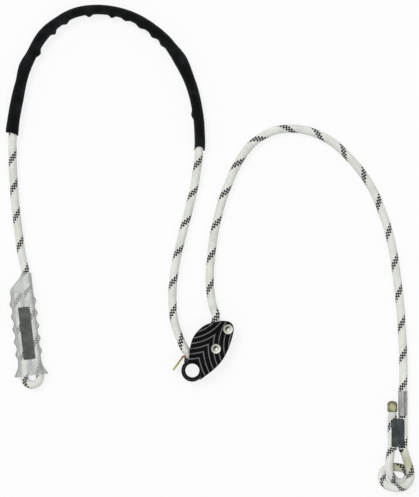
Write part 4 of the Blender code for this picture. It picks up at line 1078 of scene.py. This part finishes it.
# %% Thread, and what lies under the stitches
def thread_finish(name, dark, pale):
    finish = Finish(name, Roughness=0.78, Sheen_Weight=0.2, Specular_IOR_Level=0.35)
    place = finish.place()
    frayed = spread(cloudy(place, 140.0, 4.0), 0.4, 0.7)
    finish.feed(Base_Color=mixed(frayed, dark, pale))
    strands = {"Vector": place, "Scale": 1200.0, "Distortion": 2.0}
    finish.bump(wire(finish.tree, "ShaderNodeTexWave", strands, "Fac"), 0.00008, 0.5)
    return finish.material


PAD_CORNER, PAD_STEPS, PAD_RAGGED = 0.0007, 40, 0.03


def seam_pad(seam, width, middle, height):
    """The dense threads underneath the top rows, as a slab with soft edges above and below."""
    half = width / 2
    section = [
        (-half, -height + PAD_CORNER), (-half + PAD_CORNER, -height),
        (half - PAD_CORNER, -height), (half, -height + PAD_CORNER),
        (half, height - PAD_CORNER), (half - PAD_CORNER, height),
        (-half + PAD_CORNER, height), (-half, height - PAD_CORNER),
    ]
    rows = []
    for step in range(PAD_STEPS + 1):
        y = seam[0] + (seam[1] - seam[0]) * step / PAD_STEPS
        ragged = 1 + PAD_RAGGED * noise.noise(Vector((0, y * 400, width * 100)))
        rows.append([(x * ragged, y, middle + z) for x, z in section])
    return lofted("pad", [rows], 40)


# %% The two sewn seams
PAD_HALF_HEIGHT = FLAT_HALF_HEIGHT + CLEARANCE
ROW_PITCH, STITCH_RISE = 0.0010, 0.0001

sewing = sewing_tree()
stitch = linked("stitch_pattern", stitch_mesh())
seams = (
    ("left_eye", LEFT_EYE, LEFT_SEAM, 0.016, IN_COVER, ("434845", "646966")),
    ("right_eye", RIGHT_EYE, RIGHT_SEAM, 0.0176, IN_SHRINK, ("2c3233", "4b5252")),
)
for name, eye, seam, width, middle, shades in seams:
    thread = thread_finish(name + "_seam_thread", *shades)
    length = seam[1] - seam[0]
    values = {
        "Stitch": stitch, "Rows": round(length / ROW_PITCH), "Width": width,
        "Length": length - ROW_PITCH, "Height": PAD_HALF_HEIGHT + STITCH_RISE, "Material": thread,
    }
    piece = shaped(name + "_seam", bpy.data.meshes.new("blank"), sewing, values)
    piece.data.transform(Matrix.Translation((0, (seam[0] + seam[1]) / 2, middle)))
    work = bmesh.new()
    work.from_mesh(piece.data)
    work.from_mesh(seam_pad(seam, width, middle, PAD_HALF_HEIGHT))
    work.to_mesh(piece.data)
    work.free()
    piece.data.materials.clear()
    piece.data.materials.append(thread)
    piece.data.transform(eye)
    piece.data.shade_smooth()
    handed_over(piece, "thread", name + "_stitching")
bpy.data.objects.remove(stitch)

# %% [markdown]
# The right eye's standing leg wears a shrunken plastic sleeve, and its tail a moulded cap. The
# sleeve is lofted with a slightly uneven wall, because a real one shrinks onto the rope's bumps.
# The cap is a turned shape, and it stays smooth and takes a gloss.

# %% The shrink sleeve and the tail cap
PLASTIC_WALL, CAP_DOME, CAP_EDGE = 0.0008, 0.0045, 0.0003
SHRINK_RINGS, SHRINK_SIDES, SHRINK_UNEVEN = 44, 64, 0.00035
ROLL_HEIGHT, ROLL_LENGTH = 0.0002, 0.0012


def on_leg(mesh, offset, start):
    """Lays a shape that stands upright along a leg of the right eye."""
    mesh.transform(Matrix.Rotation(-math.pi / 2, 4, "X"))
    mesh.transform(Matrix.Translation((offset, start, IN_SHRINK)))
    mesh.transform(RIGHT_EYE)
    return mesh


def shrink_ring(z, length, radius, uneven):
    """A ring of the sleeve. The outer one is uneven, and rolled up a little at both ends."""
    rolled = ROLL_HEIGHT * max(0, 1 - min(z, length - z) / ROLL_LENGTH)
    ring = []
    for turn in [math.tau * side / SHRINK_SIDES for side in range(SHRINK_SIDES)]:
        spot = Vector((math.cos(turn) * 3, math.sin(turn) * 3, z * 260))
        r = radius - uneven * (0.5 + 0.5 * noise.noise(spot))
        r += rolled - ROLL_HEIGHT if uneven else 0
        ring.append((r * math.cos(turn), r * math.sin(turn), z))
    return ring


def shrink_mesh():
    length, bore = SHRINK_SLEEVE[1] - SHRINK_SLEEVE[0], ROPE_RADIUS + CLEARANCE
    heights = [length * step / SHRINK_RINGS for step in range(SHRINK_RINGS + 1)]
    outer = [shrink_ring(z, length, bore + PLASTIC_WALL, SHRINK_UNEVEN) for z in heights]
    inner = [shrink_ring(z, length, bore, 0.0) for z in heights]
    return on_leg(lofted("shrink_sleeve", [outer, inner], 60), LEG_OFFSET, SHRINK_SLEEVE[0])


def cap_mesh():
    length, bore = TAIL_CAP[1] - TAIL_CAP[0], ROPE_RADIUS + CLEARANCE
    quarter = [math.pi / 2 * step / 16 for step in range(17)]
    outer, straight, inner_dome = bore + PLASTIC_WALL, length - CAP_DOME, CAP_DOME - PLASTIC_WALL
    shell = [(outer - CAP_EDGE, 0), (outer, CAP_EDGE)]
    shell += [(outer * math.cos(a), straight + CAP_DOME * math.sin(a)) for a in quarter]
    shell[-1] = (0, length)
    lining = [(bore * math.cos(a), straight + inner_dome * math.sin(a)) for a in quarter[::-1]]
    lining[0] = (0, length - PLASTIC_WALL)
    return on_leg(turned("tail_cap", [*lining, (bore, 0), *shell]), -LEG_OFFSET, TAIL_CAP[0])


# %% [markdown]
# Old glue shows through the shrunk sleeve in streaks along the leg, and a painted shade runs down
# its right side. The cap has a painted shade towards its rim. Noise stretched along the leg makes
# the streaks, and the distances from a line and from the cap's middle make the two shades.

# %% The finishes of the two plastics
# Where the shrink sleeve's painted shade runs, and where the cap's painted shade begins and ends
SHADE_LINE_X = RIGHT_EYE.translation.x + LEG_OFFSET + 0.0015
CAP_MIDDLE = RIGHT_EYE @ Vector((-LEG_OFFSET, (TAIL_CAP[0] + TAIL_CAP[1]) / 2 - 0.001, 0))
SHADE_HALF_WIDTH, CAP_SHADE = (0.0032, 0.0014), (0.0030, 0.0068)


def streaked_finish():
    """Grey see-through plastic with streaks of old glue, and a painted shade along its right side.
    """
    finish = Finish("streaked_shrink", Specular_IOR_Level=0.5, Coat_Weight=0.4, Coat_Roughness=0.2)
    place = finish.place()
    drawn = {"Vector": place, "Scale": (420.0, 60.0, 420.0)}
    streak = cloudy(wire(finish.tree, "ShaderNodeMapping", drawn), 1.0, 3.0)
    grey = mixed(spread(streak, 0.35, 0.65), "a2a4a2", "c2c3bd")
    # Painted shade: darker along a line down the sleeve's right side
    off = abs(place.split()[0] - SHADE_LINE_X)
    shaded = spread(off + streak * 0.002, *SHADE_HALF_WIDTH)
    finish.feed(
        Base_Color=mixed(shaded, grey, "74756f"), Alpha=spread(streak, 0.3, 0.7, 0.62, 0.85),
        Roughness=spread(streak, 0.3, 0.7, 0.25, 0.45),
    )
    finish.bump(cloudy(place, 300.0, 2.0), 0.0003, 0.3)
    return finish.material


def cap_finish():
    finish = Finish("olive_cap", Specular_IOR_Level=0.5, Coat_Weight=0.5, Coat_Roughness=0.15)
    place = finish.place()
    tone = spread(cloudy(place, 150.0, 2.0), 0.35, 0.65)
    # Painted shade: the domed cap turns darker towards its rim
    edge = spread(flat_distance(place, CAP_MIDDLE), *CAP_SHADE)
    colour = mixed(edge, mixed(tone, "8a8848", "b0b08a"), "4c4b2a")
    finish.feed(Base_Color=colour, Roughness=spread(tone, 0.0, 1.0, 0.3, 0.42))
    finish.bump(cloudy(place, 700.0, 2.0), 0.0001, 0.3)
    return finish.material


plastics = (
    ("shrink_sleeve", shrink_mesh, streaked_finish, "right_shrink_sleeve"),
    ("tail_cap", cap_mesh, cap_finish, "right_tail_cap"),
)
for name, make, finish, node in plastics:
    piece = linked(name, make())
    piece.data.materials.append(finish())
    handed_over(piece, name, node)

# %% [markdown]
# The adjuster's metal keeps the frame's own solids, which already have the true shape, and gets
# finishes. Scratches, rubbed edges and a faint grain are wanted on several of them. So wear is one
# shader group, made once, with its strength as an input.


# %% A shared wear group
def wear_group():
    tree = bpy.data.node_groups.new("wear", "ShaderNodeTree")
    sockets = ("Place", "Vector", "INPUT"), ("Amount", "Float", "INPUT")
    for label, kind, way in (*sockets, ("Mask", "Float", "OUTPUT"), ("Grain", "Float", "OUTPUT")):
        tree.interface.new_socket(label, in_out=way, socket_type=f"NodeSocket{kind}")
    tree.interface.items_tree["Amount"].default_value = 0.5
    place, amount = [Output(socket) for socket in tree.nodes.new("NodeGroupInput").outputs[:2]]
    drawn = {"Vector": place, "Rotation": (0, 0, 0.6), "Scale": (2600.0, 120.0, 900.0)}
    scratches = spread(cloudy(wire(tree, "ShaderNodeMapping", drawn), 1.0, 2.0), 0.66, 0.74)
    scuffs = spread(cloudy(place, 110.0, 6.0), 0.55, 0.72)
    mask, grain = (scratches * 0.7).most(scuffs) * amount, cloudy(place, 1500.0, 2.0)
    out = tree.nodes.new("NodeGroupOutput")
    tree.links.new(mask.socket, out.inputs["Mask"])
    tree.links.new(grain.socket, out.inputs["Grain"])
    return tree


wear = wear_group()


def worn(place, amount):
    given = {"Place": place, "Amount": amount}
    node = wire(place.tree, "ShaderNodeGroup", given, node_tree=wear).socket.node
    return Output(node.outputs["Mask"]), Output(node.outputs["Grain"])


# %% [markdown]
# Every metal part is rougher in one place than in the next, as its grain goes, and shows another
# shade where it is rubbed. The smaller parts need no more than that. The larger ones are coloured
# in steps of their own, so a metal comes without its colour at first.

# %% Metal, and the smaller parts
GRAIN_DEPTH, GRAIN_STRENGTH = 0.00003, 0.25


def metal(name, roughness, metallic, amount=0.5, specular=0.5):
    """A metal that has no colour yet, the mask of where it is rubbed, and its grain."""
    finish = Finish(name, Metallic=metallic, Specular_IOR_Level=specular)
    mask, grain = worn(finish.place(), amount)
    finish.feed(Roughness=spread(grain, 0.3, 0.7, roughness - 0.06, roughness + 0.08))
    return finish, mask, grain


def plain_metal(name, shade, rubbed, roughness, metallic):
    """A metal in one shade, with another where it is rubbed, and a fine relief."""
    finish, mask, grain = metal(name, roughness, metallic)
    finish.feed(Base_Color=mixed(mask, shade, rubbed))
    finish.bump(grain, GRAIN_DEPTH, GRAIN_STRENGTH)
    return finish


def dress(finish, *names):
    """Puts a finish on the frame's own solids."""
    for name in names:
        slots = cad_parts[name].data.materials
        slots.clear()
        slots.append(finish.material)
    print(finish.material.name, "dresses", *names)


dress(plain_metal("black_saddle", "141416", "55565a", 0.42, 0.6), "rope_saddle")
brass = plain_metal("brass", "b8935a", "d8bd86", 0.3, 1.0)
dress(brass, "pivot_bush", "rear_arm_washer", "front_arm_washer")
steel = plain_metal("steel", "9a9c9e", "c8cacc", 0.3, 1.0)
dress(steel, "post_spacer", "lower_saddle_dowel", "upper_saddle_dowel", "arm_stop_pin")
dress(plain_metal("dark_pin", "1d1712", "4a4038", 0.45, 0.8), "lever_pin")

# %% [markdown]
# The front plate carries a pale pattern of lines on black. It could be an image, but a few sums do
# it: the distances from two points outside the plate, like ripples from two stones, and the lines
# of one stop where the other's begin. The pattern is this lesson's own and stands for nothing.

# %% The plates
PLATE_TOP = 0.0186
LINE_PITCH, LINE_WIDTH = 0.0068, 0.0014
RIPPLE_CENTRES = ((-0.030, -0.062, 0.0), (0.070, -0.130, 0.0))


def ripples(place, mask):
    """Lines on the plate's top face, fainter where it is worn."""
    level = flat_distance(place, RIPPLE_CENTRES[0]).least(flat_distance(place, RIPPLE_CENTRES[1]))
    off = abs((level / LINE_PITCH).fract() - 0.5)
    half = LINE_WIDTH / LINE_PITCH / 2
    on_top = place.split()[2].above(PLATE_TOP - 0.0001)
    return spread(off, half + 0.02, half - 0.02) * on_top * spread(mask, 0.2, 0.0, 0.5, 1.0)


def plate_finish(name, lined):
    finish, mask, grain = metal(name, roughness=0.48, metallic=0.0, amount=0.35, specular=0.05)
    colour = mixed(mask, "050506", "19191a")
    if lined:
        colour = mixed(ripples(finish.place(), mask), colour, "6a6b6e")
    finish.feed(Base_Color=colour)
    finish.bump(grain, GRAIN_DEPTH, 0.3)
    return finish


dress(plate_finish("lined_plate", True), "front_plate")
dress(plate_finish("plain_plate", False), "rear_plate")

# %% [markdown]
# The arm's ring is turned metal, blackened, so it shows fine circles round its bore, and a painted
# highlight circles it where its raised rim ends. The lever is a bent strip with a gold finish that
# has greened towards its tip.

# %% The arm and the lever
EYE_CENTRE = (-0.02260, -0.16277, 0.0)
LEVER_CORNER = Vector((-0.0336, -0.1425, 0))
LEVER_TIP = Vector((-0.0479, -0.1622, 0))
# Where the arm's painted highlight circles its eye, how wide it is, and the pitch of the fine
# circles
HIGHLIGHT_RADIUS, HIGHLIGHT_HALF_WIDTH, CIRCLE_PITCH = 0.0120, (0.0007, 0.0002), 0.0005
# How far from the corner the green begins, and how far to the side the darker part does
GREENING_START, DARKER_SIDE = 0.003, (0.0016, 0.0032)


def arm_finish():
    finish = metal("black_arm", roughness=0.4, metallic=0.15, specular=0.08)[0]
    far = flat_distance(finish.place(), EYE_CENTRE)
    # Painted highlight: a light circle round the bore
    ring_highlight = spread(abs(far - HIGHLIGHT_RADIUS), *HIGHLIGHT_HALF_WIDTH)
    finish.feed(Base_Color=mixed(ring_highlight, "070708", "34353a"))
    finish.bump((far * (math.tau / CIRCLE_PITCH)).sine(), 0.00004, 0.5)
    return finish


def lever_finish():
    """Gold that has greened towards the tip, and is darker on the side of the pin."""
    finish, mask, grain = metal("gold_lever", roughness=0.4, metallic=0.6, amount=0.4)
    along = LEVER_TIP - LEVER_CORNER
    from_corner = finish.place().vector("SUBTRACT", tuple(LEVER_CORNER))
    run = from_corner.vector("DOT_PRODUCT", tuple(along.normalized()), out="Value")
    aside = from_corner.vector("DOT_PRODUCT", (-along.y, along.x, 0.0), out="Value")
    outer = mixed(spread(run, GREENING_START, along.length), "824a0c", "9ba95c")
    inner = spread(aside, *[side * along.length for side in DARKER_SIDE])
    base = mixed(inner, outer, "2c0f06")
    finish.feed(Base_Color=mixed(mask, base, "c9a45c"))
    finish.bump(grain, GRAIN_DEPTH, GRAIN_STRENGTH)
    return finish


dress(arm_finish(), "cam_arm")
dress(lever_finish(), "release_lever")

# %% [markdown]
# The two rivets are the brightest spots of the whole thing. They are the same rivet twice, which is
# what instancing is for: a tree sets one turned shape on both places.

# %% Rivets
RIVET_PLACES = (PIVOT, PIVOT + Vector((0.270 * PLATE_SIZE[0], 0.342 * PLATE_SIZE[1], 0)))
HEAD_TOP, HEAD_RADIUS, BARREL_RADIUS = 0.0192, 0.0065, 0.0035
# The dished head from its middle outwards: radius, and depth under its top
HEAD_PROFILE = (
    (0, 0.0026), (0.0012, 0.0026), (0.0019, 0.0024), (0.0024, 0.0019), (0.0034, 0.0009),
    (0.0038, 0.0004), (0.0043, 0.0001), (0.0047, 0), (0.0057, 0), (0.0062, 0.0002),
    (HEAD_RADIUS, 0.0006), (HEAD_RADIUS, 0.0011), (BARREL_RADIUS, 0.0011),
)


def rivet_mesh():
    """A rivet with a dished head on both plates, its edges rounded."""
    upper = [(r, HEAD_TOP - depth) for r, depth in HEAD_PROFILE]
    return turned("rivet", upper + [(r, HEAD_TOP - z) for r, z in reversed(upper)], 72)


def rivet_tree():
    tree, given = shaping_tree("rivets_on_points", ("Rivet", "Object", None))
    rivet = wire(tree, "GeometryNodeObjectInfo", {"Object": given["Rivet"]}, "Geometry")
    rivet = store(rivet, "from_axis", wire(tree, "GeometryNodeInputPosition"), "FLOAT_VECTOR")
    rows = {"Points": given["Geometry"], "Instance": rivet}
    return close_tree(wire(tree, "GeometryNodeInstanceOnPoints", rows), given["Material"])


# %% [markdown]
# Each dish is painted dark on one side and light on the other, a painted shade and a painted
# highlight, and the rim is painted from dark to light across the head as well. Both rivets are one
# piece, so each point keeps its place from its own rivet's axis, and the finish reads that.

# %% The finish of the rivets
# Where the dish begins, and across which stretch the painted shade of the dish and of the rim turns
# to painted light
DISH_DEPTH, DISH_LIGHT, RIM_LIGHT = (0.0001, 0.0008), (-0.0024, 0.0014), (-0.0090, 0.0060)


def rivet_finish():
    """Satin steel, with a painted shade in the dish on the side that the light comes from, painted
    light on its far side, and a rim painted from dark to light.
    """
    finish, mask, grain = metal("silver", roughness=0.4, metallic=0.7, amount=0.3)
    spot = wire(finish.tree, "ShaderNodeAttribute", out="Vector", attribute_name="from_axis")
    x, y, z = spot.split()
    # Painted light and shade: rim and dish both run from dark at the upper left to light at the
    # lower right
    deep = spread(z.least(HEAD_TOP - z), *DISH_DEPTH)
    rim_light_and_wear = mixed(spread(x - y, *RIM_LIGHT), "8b8b7e", "cfcfc3")
    rim_light_and_wear = mixed(mask, rim_light_and_wear, "dcdcd0")
    dish = mixed(spread(x - y, *DISH_LIGHT), "2b2c20", "dcdcd2")
    finish.feed(Base_Color=mixed(deep, rim_light_and_wear, dish))
    finish.bump(grain, GRAIN_DEPTH, GRAIN_STRENGTH)
    return finish.material


rivet = linked("rivet_pattern", rivet_mesh())
places = bpy.data.meshes.new("rivet_places")
places.from_pydata(RIVET_PLACES, [], [])
values = {"Rivet": rivet, "Material": rivet_finish()}
rivets = shaped("rivets", places, rivet_tree(), values)
bpy.data.objects.remove(rivet)
handed_over(rivets, "rivets", "pivot_rivet", "post_rivet")

# %% [markdown]
# Two stretches of rope are free, and each is walked in even steps from the adjuster out to its eye.
# The sleeve's way round is given as a number.

# %% The free stretches of rope
SLEEVE_WAY_ROUND, PATH_STEP = 0.050, 0.002
load_path = [tuple(spot) for spot in evenly_spaced(lines["load_side_rope"], PATH_STEP)[::-1]]
free_path = [tuple(spot) for spot in evenly_spaced(lines["free_side_rope"], PATH_STEP)]

# %% [markdown]
# The photograph has a white ground. More light would wash the object out, so the floor and the
# world only look white, to the camera and in reflections, and the floor keeps a soft shadow.

# %% Floor and sky
FLOOR_SIZE, FLOOR_DROP = 6, 0.0004
FLOOR_GLOW, SKY_ON_OBJECT = 0.82, 0.55


def seen_itself(tree):
    """1 for rays that show the background itself, in the camera, in gloss or through glass."""
    rays = tree.nodes.new("ShaderNodeLightPath").outputs
    camera, glossy = Output(rays["Is Camera Ray"]), Output(rays["Is Glossy Ray"])
    return camera.most(glossy).most(Output(rays["Is Transmission Ray"]))


def ground():
    work = bmesh.new()
    bmesh.ops.create_grid(work, x_segments=1, y_segments=1, size=FLOOR_SIZE)
    floor = linked("floor", finished_mesh(work, "floor", 50))
    floor.data.transform(Matrix.Translation((0, 0, -FLOOR_DROP)))
    pale = (0.9, 0.9, 0.9, 1)
    finish = Finish("pale_floor", Base_Color=pale, Roughness=0.9, Specular_IOR_Level=0.2)
    tree = finish.tree
    given = {0: seen_itself(tree) * FLOOR_GLOW, 1: Output(finish.shader.outputs[0])}
    given[2] = wire(tree, "ShaderNodeEmission", {"Strength": 1.0})
    mix = wire(tree, "ShaderNodeMixShader", given)
    tree.links.new(mix.socket, tree.nodes["Material Output"].inputs["Surface"])
    floor.data.materials.append(finish.material)


def sky():
    world = bpy.data.worlds.new("studio")
    bpy.context.scene.world = world
    world.use_nodes = True
    background = world.node_tree.nodes["Background"]
    strength = spread(seen_itself(world.node_tree), 0.0, 1.0, SKY_ON_OBJECT, 1.0)
    world.node_tree.links.new(strength.socket, background.inputs["Strength"])
    background.inputs["Color"].default_value = (1, 1, 1, 1)


ground()
sky()

# %% [markdown]
# Two soft suns light the object, a stronger one from the upper left and a weak one from the lower
# right. A sun is equally strong everywhere, so the whole wide rope is lit alike.


# %% Lamps
def lamp(name, strength, softness, towards):
    light = bpy.data.lights.new(name, "SUN")
    light.energy, light.angle = strength, math.radians(softness)
    sun = linked(name, light)
    sun.rotation_euler = Vector(towards).to_track_quat("-Z", "Y").to_euler()


lamp("key", 1.35, 25, (0.5, -0.55, -1.0))
lamp("fill", 0.35, 40, (-0.6, 0.3, -1.0))
